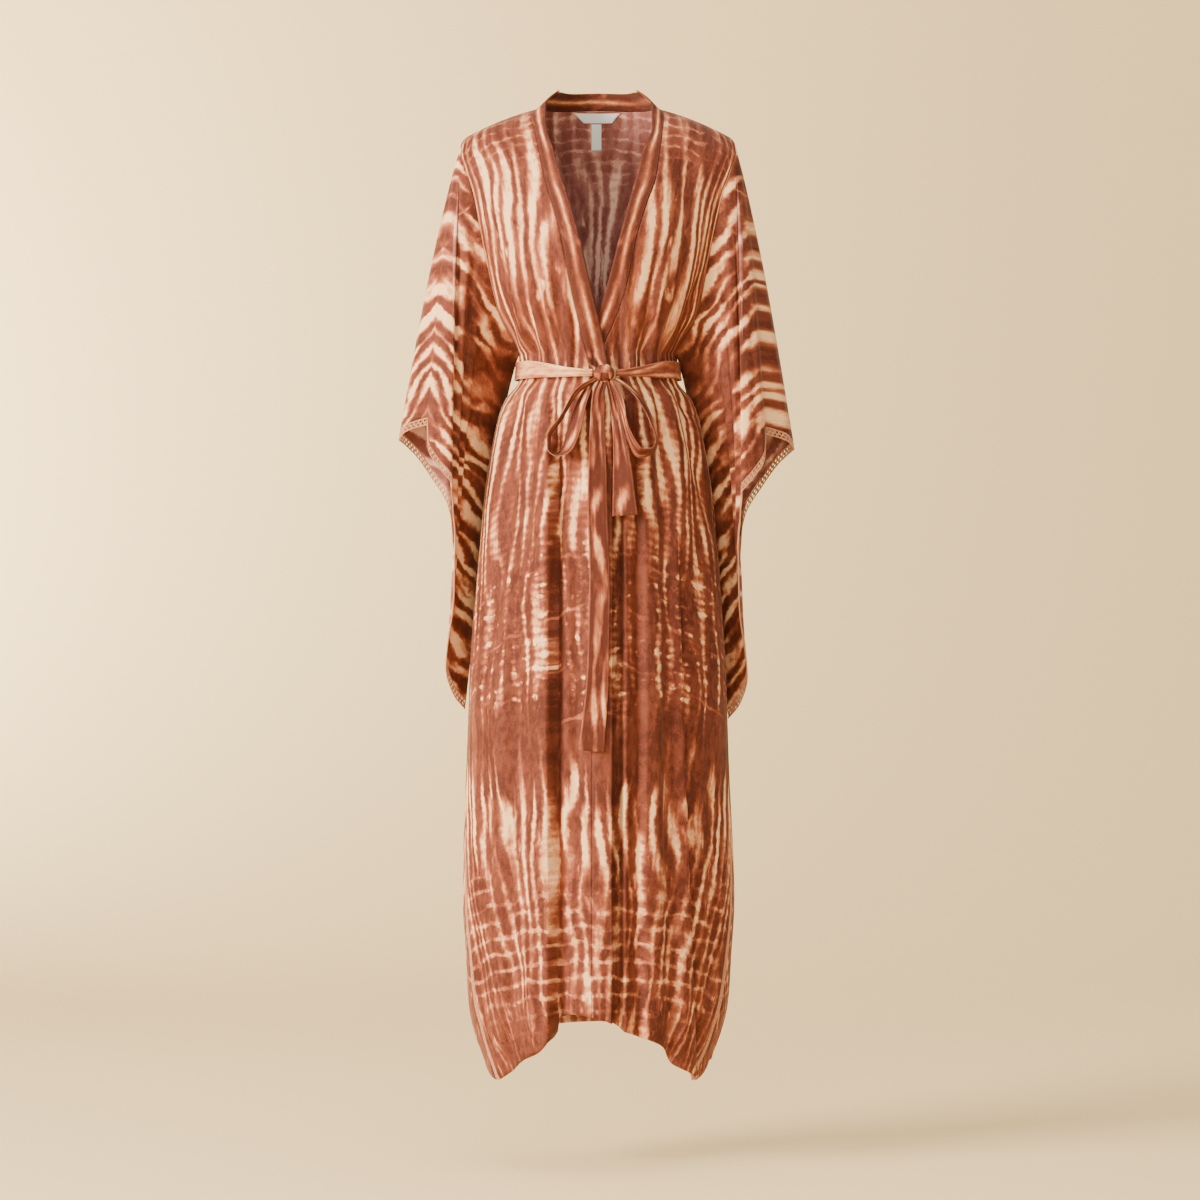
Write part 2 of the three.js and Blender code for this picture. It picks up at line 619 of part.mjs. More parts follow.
// The belt round the waist, narrowing where it runs into the knot
function waistBelt() {
  const end = angleAt(KNOT.x - KNOT.wide / 2 - KNOT_GAP, { share: 1 });
  const start = angleAt(KNOT.x + KNOT.wide / 2 + KNOT_GAP, { share: 1 });
  const reach = KNOT.y - skirt.front(-BELT_MIDDLE) + BELT_OUT;
  const grid = [];
  for (let i = 0; i <= BELT_STEPS; i++) {
    const angle = mix(start, 360 + end, i / BELT_STEPS);
    const near = Math.max(smooth(BELT_NARROWS, start, angle), smooth(360 - BELT_NARROWS, 360 + end, angle));
    const across = Math.sin(angle * DEGREE);
    const ahead = Math.cos(angle * DEGREE);
    const half = mix(BELT_HALF_HEIGHT, KNOT.high * BELT_AT_KNOT, near);
    const level = mix(BELT_MIDDLE, KNOT.z, near);
    grid.push(
      [-1, 0, 1].map((way) => {
        const below = -(level + way * half);
        const middle = ahead > 0 ? skirt.front(below) : skirt.back(below);
        const y = mix(chest.frontSeam(1), middle, Math.abs(ahead)) - BELT_OUT * ahead + reach * near ** 2;
        return new THREE.Vector3((skirt.half(below) + BELT_OUT) * across, y, -below);
      })
    );
  }
  add('belt_waist', wall(grid, BELT_CLOTH, false), COLOUR.belt);
}

// The knot: a rounded lump, drawn in round its middle
function knot() {
  const geometry = new THREE.SphereGeometry(1, 16, 12);
  const place = geometry.attributes.position;
  const point = new THREE.Vector3();
  for (let i = 0; i < place.count; i++) {
    point.fromBufferAttribute(place, i);
    const drawn = 1 - KNOT_DRAWN * Math.exp(-((point.x / KNOT_DRAWN_HALF) ** 2));
    const y = (-point.z * KNOT.deep * drawn) / 2;
    const z = (point.y * KNOT.high * drawn) / 2;
    place.setXYZ(i, KNOT.x + (point.x * KNOT.wide) / 2, KNOT.y + y, KNOT.z + z);
  }
  geometry.deleteAttribute('normal');
  geometry.deleteAttribute('uv');
  add('belt_knot', geometry, COLOUR.belt);
}

// The front cloth's depth under the belt's ends, without its folds
function frontDepth(x, z) {
  const half = skirt.half(-z);
  return mix(chest.frontSeam(1), skirt.front(-z), Math.sqrt(1 - (x / half) ** 2));
}

// A flat strip of belt along a route. Each row has a place, how far it stands off the front cloth, its width, and
// how far it is turned edge-on.
const ROUTE_STEP = 0.05;

function strip(rows, steps) {
  const line = columns(rows.map((row, i) => ({ ...row, step: i })), 'step');
  const grid = [];
  for (let i = 0; i <= steps; i++) {
    const step = (i / steps) * (rows.length - 1);
    const ahead = Math.min(step + ROUTE_STEP, rows.length - 1);
    const behind = Math.max(step - ROUTE_STEP, 0);
    const run = new THREE.Vector3(line.x(ahead) - line.x(behind), 0, line.z(ahead) - line.z(behind)).normalize();
    const flat = new THREE.Vector3(-run.z, 0, run.x);
    const turn = line.turn(step) * DEGREE;
    const width = flat.multiplyScalar(Math.cos(turn)).add(new THREE.Vector3(0, Math.sin(turn), 0));
    const depth = frontDepth(line.x(step), line.z(step)) - line.off(step);
    const middle = new THREE.Vector3(line.x(step), depth, line.z(step));
    grid.push([-0.5, 0, 0.5].map((way) => middle.clone().addScaledVector(width, way * line.wide(step))));
  }
  return wall(grid, BOW_CLOTH, false);
}

const RIGHT_LOOP = [
  { x: -2.6, z: -372.4, off: 17, wide: 8, turn: 52 },
  { x: -27, z: -388, off: 18, wide: 15, turn: 68 },
  { x: -50, z: -425, off: 17, wide: 20, turn: 76 },
  { x: -66, z: -450, off: 18, wide: 22, turn: 80 },
  { x: -66, z: -466, off: 18, wide: 22, turn: 82 },
  { x: -55, z: -475, off: 18, wide: 23, turn: 76 },
  { x: -42, z: -467, off: 17, wide: 24, turn: 58 },
  { x: -32, z: -440, off: 16, wide: 23, turn: 44 },
  { x: -23, z: -408, off: 14, wide: 18, turn: 40 },
  { x: -12, z: -384, off: 10, wide: 11, turn: 40 },
  { x: -7, z: -375, off: 8, wide: 7, turn: 40 },
];
const LEFT_LOOP = [
  { x: 18.4, z: -374, off: 17, wide: 7, turn: -50 },
  { x: 27, z: -390, off: 17, wide: 13, turn: -60 },
  { x: 33, z: -410, off: 19, wide: 17, turn: -70 },
  { x: 37, z: -431, off: 21, wide: 20, turn: -74 },
  { x: 45, z: -456, off: 21, wide: 22, turn: -66 },
  { x: 57, z: -472, off: 18, wide: 23, turn: -58 },
  { x: 73, z: -468, off: 18, wide: 23, turn: -72 },
  { x: 79, z: -453, off: 18, wide: 22, turn: -80 },
  { x: 70, z: -424, off: 17, wide: 20, turn: -74 },
  { x: 55, z: -398, off: 16, wide: 17, turn: -68 },
  { x: 38, z: -381, off: 15, wide: 13, turn: -60 },
  { x: 22, z: -371, off: 15, wide: 7, turn: -50 },
];
const RIGHT_TAIL = [
  { x: 6, z: -375.6, off: 13, wide: 12, turn: 14 },
  { x: 0, z: -400, off: 13, wide: 17, turn: 10 },
  { x: -1, z: -450, off: 9, wide: 21, turn: 7 },
  { x: -1, z: -532, off: 7, wide: 26, turn: 5 },
  { x: 2, z: -640, off: 6, wide: 27, turn: 4 },
  { x: 0, z: -760, off: 6, wide: 29, turn: 2 },
  { x: -9, z: -871, off: 6, wide: 34, turn: 0 },
];
const LEFT_TAIL = [
  { x: 13.4, z: -374.4, off: 10, wide: 6, turn: -10 },
  { x: 20, z: -398, off: 5.2, wide: 10, turn: -12 },
  { x: 28.5, z: -450, off: 4.8, wide: 17, turn: -8 },
  { x: 33, z: -500, off: 5.5, wide: 26, turn: -5 },
  { x: 36, z: -556, off: 5.5, wide: 34, turn: -2 },
];

// The bare label and the size tag: how far across and how low their corners are
const LABEL = { topRight: -34, topLeft: 31, lowRight: -20, lowLeft: 19, top: 5, low: -8 };
const SIZE_TAG = { topRight: -9, topLeft: 4.6, lowRight: -9, lowLeft: 4.6, top: -9.5, low: -45 };
const LABEL_GAP = 0.8;
const LABEL_LIFT = CLOTH / 2 + LABEL_GAP + PAPER_THIN / 2;
const LEVEL_STEP = 0.001;

// A flat piece on the inside of the back, moved in from the back's own points
function onBack(piece) {
  const levels = [piece.top, mix(piece.top, piece.low, 0.5), piece.low];
  const grid = levels.map((level, i) => {
    const start = mix(piece.topRight, piece.lowRight, i / 2);
    const end = mix(piece.topLeft, piece.lowLeft, i / 2);
    const line = [];
    for (let j = 0; j <= LABEL_STEPS; j++) {
      const x = mix(start, end, j / LABEL_STEPS);
      let share = 0;
      let point = chestPoint(180 - angleAt(x, { share }), share);
      while (point.z > level) {
        share += LEVEL_STEP;
        point = chestPoint(180 - angleAt(x, { share }), share);
      }
      point.y -= LABEL_LIFT;
      line.push(point);
    }
    return line;
  });
  return wall(grid, PAPER_THIN, false);
}

add('back', wall(back, CLOTH, false, shoulderNormals(back[0])), COLOUR.cloth);
add('front_right', wall(rightFront, CLOTH, false, shoulderNormals(rightFront[0])), COLOUR.cloth);
add('front_left', wall(leftFront, CLOTH, false, shoulderNormals(leftFront[0])), COLOUR.cloth);
sleeve(-1, 'right');
sleeve(1, 'left');
sideLace(-1, 'right');
sideLace(1, 'left');
frontBand(-1, 'right');
frontBand(1, 'left');
backBand();
waistBelt();
knot();
add('bow_loop_right', strip(RIGHT_LOOP, LOOP_STEPS), COLOUR.belt);
add('bow_loop_left', strip(LEFT_LOOP, LOOP_STEPS), COLOUR.belt);
add('belt_tail_right', strip(RIGHT_TAIL, LONG_TAIL_STEPS), COLOUR.belt);
add('belt_tail_left', strip(LEFT_TAIL, SHORT_TAIL_STEPS), COLOUR.belt);
add('label', onBack(LABEL), COLOUR.label);
add('size_tag', onBack(SIZE_TAG), COLOUR.label);

export default coat;
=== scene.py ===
"""A long open kimono coat in rust and cream tie-dyed cloth, tied at the waist and held as if worn.

Lengths are millimetres until a mesh is made. +Z is up and -Y is the front. The right side is at -X.
"""

import math

import bpy
import numpy as np
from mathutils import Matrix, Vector


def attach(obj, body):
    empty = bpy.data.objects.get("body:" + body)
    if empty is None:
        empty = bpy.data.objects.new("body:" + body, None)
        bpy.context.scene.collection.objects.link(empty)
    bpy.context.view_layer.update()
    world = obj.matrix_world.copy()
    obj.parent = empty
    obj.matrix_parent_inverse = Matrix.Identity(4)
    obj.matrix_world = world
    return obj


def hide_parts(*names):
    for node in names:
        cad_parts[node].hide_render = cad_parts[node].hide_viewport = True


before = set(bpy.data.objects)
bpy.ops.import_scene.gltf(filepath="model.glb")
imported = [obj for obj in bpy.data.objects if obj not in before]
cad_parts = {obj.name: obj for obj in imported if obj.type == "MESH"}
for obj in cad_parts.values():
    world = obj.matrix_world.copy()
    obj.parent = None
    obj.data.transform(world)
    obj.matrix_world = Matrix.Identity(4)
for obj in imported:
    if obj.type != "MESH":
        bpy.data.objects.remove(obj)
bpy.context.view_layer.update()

MM = 0.001
DEGREE = math.pi / 180


def table(names, *rows):
    """Rows of values as dictionaries, with the columns' names given once."""
    keys = names.split()
    return [dict(zip(keys, row)) for row in rows]


# Cloth
CLOTH = 1.1
BAND_CLOTH = 2.2
LACE = 0.9
BELT_CLOTH = 2.2
BOW_CLOTH = 1.6
LABEL_CLOTH = 0.7
SEAM = 0.15

# Body
SHOULDER_TOP = 14
SHOULDER_DROP = 49
WAIST = -333
NECK_HALF = 84
NECK_BACK = 60
NECK_BLEND = 24
NECK_SQUARE = 2.4
NECK_SOFT = 0.6
NECK_DROP = 6
RIDGE = 4
YOKE = 0.2
HEM_FRONT = 1230
HEM_SIDE = 1300

# Belt
BELT_MIDDLE = -356
BELT_HALF_HEIGHT = 12
BELT_OUT = 3.2
BELT_NARROWS = 60
BELT_AT_KNOT = 0.2
BELT_MAP_START = 900
KNOT = {"x": 8, "y": -102, "z": -364, "wide": 29, "deep": 17, "high": 23}
KNOT_GAP = 0.4

# Lace
CUFF_LACE_SHARE = 0.028
SIDE_LACE_TOP = -985
SIDE_LACE_HALF_DEGREES = 1.7

# Grid steps for each row or column of the tables below
CHEST_FINE = 5
SKIRT_FINE = 9
FRONT_STEPS = 84
BACK_STEPS = 138
SLEEVE_STEPS = 140
BAND_STEPS = 12

ARMHOLE_ROWS = [
    0, 0.012, 0.026, 0.042, 0.06, 0.08, 0.1, 0.14, 0.19, 0.25,
    0.32, 0.39, 0.47, 0.55, 0.63, 0.71, 0.79, 0.87, 0.94, 1,
]
BELT_ROWS = [0.018, 0.04]
SKIRT_ROWS = 15

CHEST = table(
    "share half front back front_seam back_seam turn",
    (0, 180, 4, 4, 4, 4, 2.2), (0.03, 185, -22, 34, -14, 20, 2), (0.08, 187, -44, 56, -26, 33, 1.8),
    (0.15, 181, -63, 71, -36, 43, 1.7), (0.28, 168, -86, 84, -43, 50, 1.6),
    (0.42, 160, -101, 90, -44, 51, 1.5), (0.6, 150, -108, 91, -40, 48, 1.4),
    (0.81, 136, -99, 84, -24, 34, 1.2), (0.94, 119, -89, 79, -6, 17, 1.05), (1, 109, -86, 78, 6, 6, 1),
)
SKIRT = table(
    "below half front back seam",
    (333, 109, -86, 78, 90), (350, 109, -86, 78, 90), (368, 111, -87, 80, 90), (392, 128, -94, 90, 90),
    (447, 144, -104, 102, 90), (560, 160, -111, 116, 90), (674, 169, -115, 121, 88),
    (820, 177, -119, 122, 84), (1080, 185, -123, 124, 76), (1150, 181, -123, 124, 74),
    (1219, 177, -122, 124, 71), (1261, 169, -121, 123, 69), (1291, 160, -120, 122, 67),
    (1340, 147, -118, 120, 65),
)
HEM = table(
    "angle below",
    (-180, 1259), (-130, 1270), (-95, 1294), (-68, 1321), (-54, 1308), (-40, 1289), (-31, 1279),
    (-23.5, 1262), (-19.5, 1230), (-10, 1225), (0, 1229), (6, 1236), (12, 1247), (20, 1255), (34, 1272),
    (42, 1294), (54, 1309), (68, 1322), (95, 1294), (130, 1270), (180, 1259),
)
BAND = table(
    "share right_seam right_edge left_seam left_edge",
    (0, -84, -53, 84, 53), (0.04, -91, -71, 90, 73), (0.1, -86, -70, 88, 73), (0.19, -80, -61, 84, 62),
    (0.31, -72, -50, 78, 52), (0.42, -62, -38, 66, 42), (0.55, -50, -26, 53, 30), (0.78, -36, -7, 36, 9),
    (0.9, -26, 3, 20, -6), (1, -16, 10, 4, -22),
)
BAND_RIGHT_EDGE = 19
BAND_LEFT_EDGE = -62
BAND_WIDTH = 27
BAND_TURNS_BELOW = 40
BAND_LIFT = 20
BAND_LIFT_SHARE = 0.1
BACK_BAND = {"out": 0.8, "up": 0.4, "high": 24, "lean": 0.85, "narrow": 0.64}
BACK_BAND_MAP = {"scale": 0.8, "from": 180}
BAND_MAP_TURNS = {"from": 340, "to": 366}

# Large folds: place across at the belt and at the hem, depth, width, which side of the edge sinks, and
# where each one begins and ends below the neck
FOLDS = table(
    "side belt hem deep wide sinks from to",
    ("front", -66, -67, 27, 25, 1, 385, 1400), ("front", -24, -34, 8, 13, 0, 400, 1400),
    ("front", -98, -128, 12, 17, 0, 380, 1400), ("front", 62, 64, 16, 22, -1, 380, 1400),
    ("front", 88, 104, 13, 14, 0, 380, 1400), ("front", 100, 134, 15, 18, 1, 560, 1400),
    ("back", 0, 0, 9, 18, 0, 380, 1400), ("back", -44, -62, 12, 22, -1, 380, 1400),
    ("back", 40, 58, 13, 22, 1, 380, 1400), ("back", -82, -120, 9, 18, 0, 400, 1400),
    ("back", 84, 116, 8, 17, 0, 420, 1400),
)
FOLD_STEEP = 2.6
FOLD_FADE = 110

# Smaller creases: both ends across and up, depth (below zero for a ridge) and half width
CREASES = table(
    "side x0 z0 x1 z1 deep wide",
    ("front", -80, -250, -66, -345, 3.4, 5), ("front", -72, -235, -58, -345, -2.6, 6),
    ("front", -38, -250, -27, -350, 2.8, 4.5), ("front", -58, -215, -44, -345, 2, 6),
    ("front", -110, -205, -84, -345, 3, 7), ("front", -122, -235, -95, -340, -3, 7),
    ("front", -126, -150, -106, -300, 2.2, 9), ("front", -104, -60, -100, -190, 1.6, 12),
    ("front", 74, -240, 62, -345, 3, 5), ("front", 88, -220, 74, -345, -2.8, 6),
    ("front", 50, -200, 42, -345, 2.2, 5), ("front", 118, -210, 92, -345, 3.2, 6),
    ("front", 134, -240, 100, -342, 3.4, 6), ("front", 142, -280, 104, -350, 2.8, 5),
    ("front", 124, -80, 112, -215, 1.8, 11), ("front", -44, -368, -50, -520, 2.4, 5),
    ("front", -84, -368, -97, -600, 3.2, 6), ("front", -104, -372, -132, -640, 4, 7),
    ("front", -120, -430, -150, -760, 4, 9), ("front", -46, -560, -46, -980, -2.6, 9),
    ("front", -14, -760, -12, -1230, 2.6, 9), ("front", -94, -800, -104, -1290, 3.2, 11),
    ("front", -150, -880, -160, -1290, 4, 12), ("front", 34, -372, 40, -520, 2.2, 5),
    ("front", 76, -368, 92, -470, 3, 5), ("front", 96, -368, 134, -425, 3.6, 5),
    ("front", 112, -390, 158, -575, 4, 7), ("front", 128, -470, 152, -820, 3.8, 9),
    ("front", 84, -620, 86, -1120, -3, 9), ("front", 44, -860, 46, -1250, 3, 8),
    ("front", 152, -860, 162, -1280, 4, 11), ("front", -130, -1120, -136, -1330, -3, 9),
    ("front", -78, -1120, -84, -1320, 2.2, 7), ("front", 112, -1100, 116, -1310, -2.6, 8),
    ("back", -30, -180, -20, -345, 3.4, 7), ("back", 32, -160, 24, -345, 3.2, 7),
    ("back", -70, -200, -52, -345, 3.2, 7), ("back", 74, -210, 56, -345, 3.4, 7),
    ("back", 110, -190, 84, -345, 3, 8), ("back", -108, -180, -82, -345, 3, 8),
    ("back", -92, -60, -74, -190, 1.8, 12), ("back", 86, -50, 80, -170, 1.8, 12),
    ("back", -20, -372, -26, -700, 4, 8), ("back", 22, -372, 30, -640, 3.6, 8),
    ("back", -64, -372, -90, -760, 3.8, 9), ("back", 66, -372, 92, -820, 3.8, 9),
    ("back", -100, -380, -148, -700, 4, 9), ("back", 102, -380, 146, -660, 4, 9),
    ("back", -30, -820, -34, -1250, -3.4, 12), ("back", 34, -780, 32, -1240, -3.2, 12),
    ("back", -140, -800, -152, -1280, 4, 12), ("back", 144, -860, 150, -1280, 4, 12),
    ("back", 92, -920, 90, -1280, 3.4, 10), ("back", -94, -1000, -96, -1280, 3.2, 10),
)
CREASE_END = 0.25
CREASE_DEEPER = 1.5

# Slow unevenness that no cloth is without
RIPPLE = {"deep": 0.9, "across": 47, "down": 170}
GATHER_DEPTH = 2.2
GATHER_WIDTH = 30
GATHER_REACH = 75
PUCKER_DEPTH = 0.8
PUCKER_WIDTH = 8.5
PUCKER_REACH = 26

UNDER_LAP = 5.4
UNDER_LAP_SKIRT = 21
UNDER_LAP_END = 29
UNDER_LAP_RISE = 8
UNDER_LAP_CHEST = {"from": 0.6, "to": 0.78}
UNDER_LAP_BELOW = {"from": 0.03, "to": 0.12}

CUFF = table(
    "share front back",
    (0, (273, 0, -450), (273, 0, -450)), (0.012, (263, -23, -440), (266, 20, -456)),
    (0.026, (233, -32, -431), (254, 33, -468)), (0.042, (230, -50, -466), (240, 41, -486)),
    (0.06, (214, -57, -492), (228, 46, -504)), (0.08, (197, -58, -515), (216, 48, -522)),
    (0.1, (196, -47, -536), (209, 48, -536)), (0.14, (196, -36, -562), (203, 48, -560)),
    (0.25, (196, -25, -612), (200, 48, -604)), (0.39, (197, -14, -664), (200, 48, -656)),
    (0.55, (204, -3, -716), (204, 48, -708)), (0.71, (209, 9, -764), (206, 48, -752)),
    (0.87, (199, 25, -800), (198, 47, -796)), (1, (184, 41, -820), (184, 41, -820)),
)
BOW_EARLY = 0.65
SLEEVE_BOW = table(
    "share out front back",
    (0, 9, 0, 0), (0.026, 8, -10, 12), (0.08, 2, -14, 14), (0.1, 3, -12, 15), (0.14, 4, -12, 16),
    (0.25, 4, -10, 20), (0.55, 6, -2, 26), (0.79, 9, 4, 32), (0.94, 11, 18, 36), (1, 12, 36, 36),
)
MITRE = {"from": 0.5, "to": 0.95, "gap": 0.5}
LEFT_CUFF_SHIFT = {"out": -4, "down": 13}


def follow(rows, key, column):
    """A smooth line through one column of a table, without overshoot between its rows."""
    at = np.array([row[key] for row in rows], float)
    value = np.array([row[column] for row in rows], float)
    rise = np.diff(value) / np.diff(at)
    before = np.concatenate([rise[:1], rise])
    after = np.concatenate([rise, rise[-1:]])
    product = before * after
    total = np.where(product > 0, before + after, 1)
    slope = np.where(product > 0, 2 * product / total, 0)

    def line(x):
        x = np.clip(np.asarray(x, float), at[0], at[-1])
        i = np.clip(np.searchsorted(at, x, side="left") - 1, 0, len(at) - 2)
        step = at[i + 1] - at[i]
        t = (x - at[i]) / step
        ease = t * t * (3 - 2 * t)
        bend = slope[i] * t * (1 - t) ** 2 - slope[i + 1] * t * t * (1 - t)
        return value[i] * (1 - ease) + value[i + 1] * ease + step * bend

    return line


def columns(rows, key):
    names = [name for name, value in rows[0].items() if name != key and isinstance(value, (int, float))]
    return {name: follow(rows, key, name) for name in names}


def mix(a, b, share):
    return a + (b - a) * share


def smooth(start, end, x):
    t = np.clip((x - start) / (end - start), 0, 1)
    return t * t * (3 - 2 * t)


def unit(vectors):
    return vectors / np.maximum(np.linalg.norm(vectors, axis=-1, keepdims=True), 1e-9)


chest = columns(CHEST, "share")
skirt = columns(SKIRT, "below")
hem = columns(HEM, "angle")
band = columns(BAND, "share")
bow = columns(SLEEVE_BOW, "share")


def folds_at(side, x, z):
    """How far the large folds sink the cloth in."""
    below = -z
    along = (below + WAIST) / (HEM_SIDE + WAIST)
    depth = np.zeros(np.broadcast(x, z).shape)
    for fold in FOLDS:
        if fold["side"] != side:
            continue
        off = x - mix(fold["belt"], fold["hem"], along)
        reach = smooth(fold["from"], fold["from"] + FOLD_FADE, below)
        reach = reach * smooth(fold["to"], fold["to"] - FOLD_FADE, below)
        edge = smooth(0, FOLD_STEEP, fold["sinks"] * off) if fold["sinks"] else 1
        depth = depth + fold["deep"] * reach * edge * np.exp(-((off / fold["wide"]) ** 2))
    return depth


def creases_at(side, x, z):
    """How far the small creases, the belt's gathers and the slow ripple sink the cloth in."""
    depth = np.zeros(np.broadcast(x, z).shape)
    for crease in CREASES:
        if crease["side"] != side:
            continue
        run = np.array([crease["x1"] - crease["x0"], crease["z1"] - crease["z0"]], float)
        length = float(np.hypot(*run))
        run = run / length
        along = ((x - crease["x0"]) * run[0] + (z - crease["z0"]) * run[1]) / length
        off = (x - crease["x0"]) * run[1] - (z - crease["z0"]) * run[0]
        ends = smooth(-CREASE_END, CREASE_END, along) * smooth(1 + CREASE_END, 1 - CREASE_END, along)
        depth = depth + crease["deep"] * CREASE_DEEPER * ends * np.exp(-((off / crease["wide"]) ** 2))
    gather = np.exp(-(((z - BELT_MIDDLE) / GATHER_REACH) ** 2))
    depth = depth + GATHER_DEPTH * gather * (1 + np.cos(2 * math.pi * x / GATHER_WIDTH))
    pucker = np.exp(-(((z - BELT_MIDDLE) / PUCKER_REACH) ** 2))
    uneven = np.sin(x / 11) * 2.1
    depth = depth + PUCKER_DEPTH * pucker * np.cos(2 * math.pi * x / PUCKER_WIDTH + uneven)
    wander = np.sin(z / RIPPLE["down"] + x / 90)
    fade = smooth(-20, -120, z)
    return depth + RIPPLE["deep"] * fade * np.sin(x / RIPPLE["across"] * 2 + 3 * wander) * (1 + wander)


def sunk(is_front, x, z):
    front = folds_at("front", x, z) + creases_at("front", x, z)
    back = folds_at("back", x, z) + creases_at("back", x, z)
    return np.where(is_front, front, back)


def chest_point(angle, share):
    """The cloth of the body above the waist: angle round it, and share of the armhole's depth."""
    angle, share = np.broadcast_arrays(np.asarray(angle, float), np.asarray(share, float))
    ahead = np.cos(angle * DEGREE)
    across = np.sin(angle * DEGREE)
    is_front = ahead > 0
    x = chest["half"](share) * across
    middle = np.where(is_front, chest["front"](share), chest["back"](share))
    seam = np.where(is_front, chest["front_seam"](share), chest["back_seam"](share))
    y = mix(seam, middle, np.abs(ahead) ** chest["turn"](share))
    z = SHOULDER_TOP - share * (SHOULDER_TOP - WAIST) - SHOULDER_DROP * (1 - share) * across * across
    yoke = ~is_front & (share < YOKE)
    if yoke.any():
        low = chest_point(angle, np.full(share.shape, YOKE))
        part = share / YOKE
        in_neck = np.maximum(1 - (np.abs(x) / NECK_HALF) ** NECK_SQUARE, 0)
        top_y = RIDGE + (NECK_BACK - RIDGE) * in_neck**NECK_SOFT
        top_z = SHOULDER_TOP - SHOULDER_DROP * across * across - NECK_DROP * in_neck
        opened = 1 - smooth(NECK_HALF - NECK_BLEND, NECK_HALF + NECK_BLEND, np.abs(x))
        y = np.where(yoke, mix(y, mix(top_y, low[..., 1], part), opened), y)
        z = np.where(yoke, mix(z, mix(top_z, low[..., 2], part), opened), z)
    deep = sunk(is_front, x, z)
    return np.stack([x - deep * across, y + deep * ahead, z], axis=-1)


def skirt_point(angle, z):
    """The cloth of the body below the waist."""
    angle, z = np.broadcast_arrays(np.asarray(angle, float), np.asarray(z, float))
    below = -z
    across = np.sin(angle * DEGREE)
    ahead = np.cos(angle * DEGREE)
    middle = np.where(ahead > 0, skirt["front"](below), skirt["back"](below))
    x = skirt["half"](below) * across
    y = mix(chest["front_seam"](1), middle, np.abs(ahead))
    deep = sunk(ahead > 0, x, z)
    return np.stack([x - deep * across, y + deep * ahead, z], axis=-1)


def finer(values, steps):
    count = len(values) - 1
    return np.interp(np.linspace(0, count, count * steps + 1), np.arange(count + 1), values)


ARMHOLE = finer(ARMHOLE_ROWS, CHEST_FINE)
falls = [0, *BELT_ROWS, *[mix(BELT_ROWS[1], 1, (i + 1) / SKIRT_ROWS) for i in range(SKIRT_ROWS)]]
SKIRT_FALLS = finer(falls, SKIRT_FINE)[1:]
SHARES = np.concatenate([ARMHOLE, np.ones(len(SKIRT_FALLS))])
FALLS = np.concatenate([np.zeros(len(ARMHOLE)), SKIRT_FALLS])
IN_SKIRT = FALLS > 0


def body_points(angles):
    """The points of every row, for angles with one line for each row."""
    turned = (angles + 180) % 360 - 180
    level = mix(WAIST, -hem["below"](turned), FALLS[:, None])
    upper = chest_point(angles, np.broadcast_to(SHARES[:, None], angles.shape))
    lower = skirt_point(angles, level)
    return np.where(IN_SKIRT[:, None, None], lower, upper)


ROW_HEIGHT = np.where(
    IN_SKIRT,
    mix(WAIST, -hem["below"](0), FALLS),
    SHOULDER_TOP - SHARES * (SHOULDER_TOP - WAIST),
)
HALF_WIDTH = np.where(IN_SKIRT, skirt["half"](-ROW_HEIGHT), chest["half"](SHARES))


def angle_at(x):
    """The angle of a place across, for every row."""
    half = HALF_WIDTH if np.ndim(x) == 1 else HALF_WIDTH[:, None]
    return np.arcsin(np.clip(x / half, -1, 1)) / DEGREE


def band_line(name):
    edge = BAND_RIGHT_EDGE if name.startswith("right") else BAND_LEFT_EDGE
    inward = -1 if name.startswith("right") else 1
    line = edge if name.endswith("edge") else edge + inward * BAND_WIDTH
    turned = smooth(0, BAND_TURNS_BELOW / (HEM_FRONT + WAIST), FALLS)
    return np.where(IN_SKIRT, mix(float(band[name](1)), line, turned), band[name](SHARES))


def tuck(points):
    """The left front sinks in under the right one."""
    below = smooth(UNDER_LAP_BELOW["from"], UNDER_LAP_BELOW["to"], FALLS)
    depth = mix(UNDER_LAP, UNDER_LAP_SKIRT, below)
    above = np.where(IN_SKIRT, 1, smooth(UNDER_LAP_CHEST["from"], UNDER_LAP_CHEST["to"], SHARES))
    near = 1 - smooth(UNDER_LAP_END, UNDER_LAP_END + UNDER_LAP_RISE, points[..., 0])
    points = points.copy()
    points[..., 1] += (depth * above)[:, None] * near
    return points


def facing(grid, closed=False):
    """The direction that each point of a grid faces. A closed grid is a tube."""
    along = np.empty_like(grid)
    along[1:-1] = grid[2:] - grid[:-2]
    along[0] = grid[1] - grid[0]
    along[-1] = grid[-1] - grid[-2]
    if closed:
        around = np.roll(grid, -1, axis=1) - np.roll(grid, 1, axis=1)
    else:
        around = np.empty_like(grid)
        around[:, 1:-1] = grid[:, 2:] - grid[:, :-2]
        around[:, 0] = grid[:, 1] - grid[:, 0]
        around[:, -1] = grid[:, -1] - grid[:, -2]
    return unit(np.cross(along, around))


def signed_volume(points, quads):
    a, b, c, d = (points[quads[:, k]] for k in range(4))
    first = np.einsum("ij,ij->i", a, np.cross(b, c)).sum()
    return (first + np.einsum("ij,ij->i", a, np.cross(c, d)).sum()) / 6


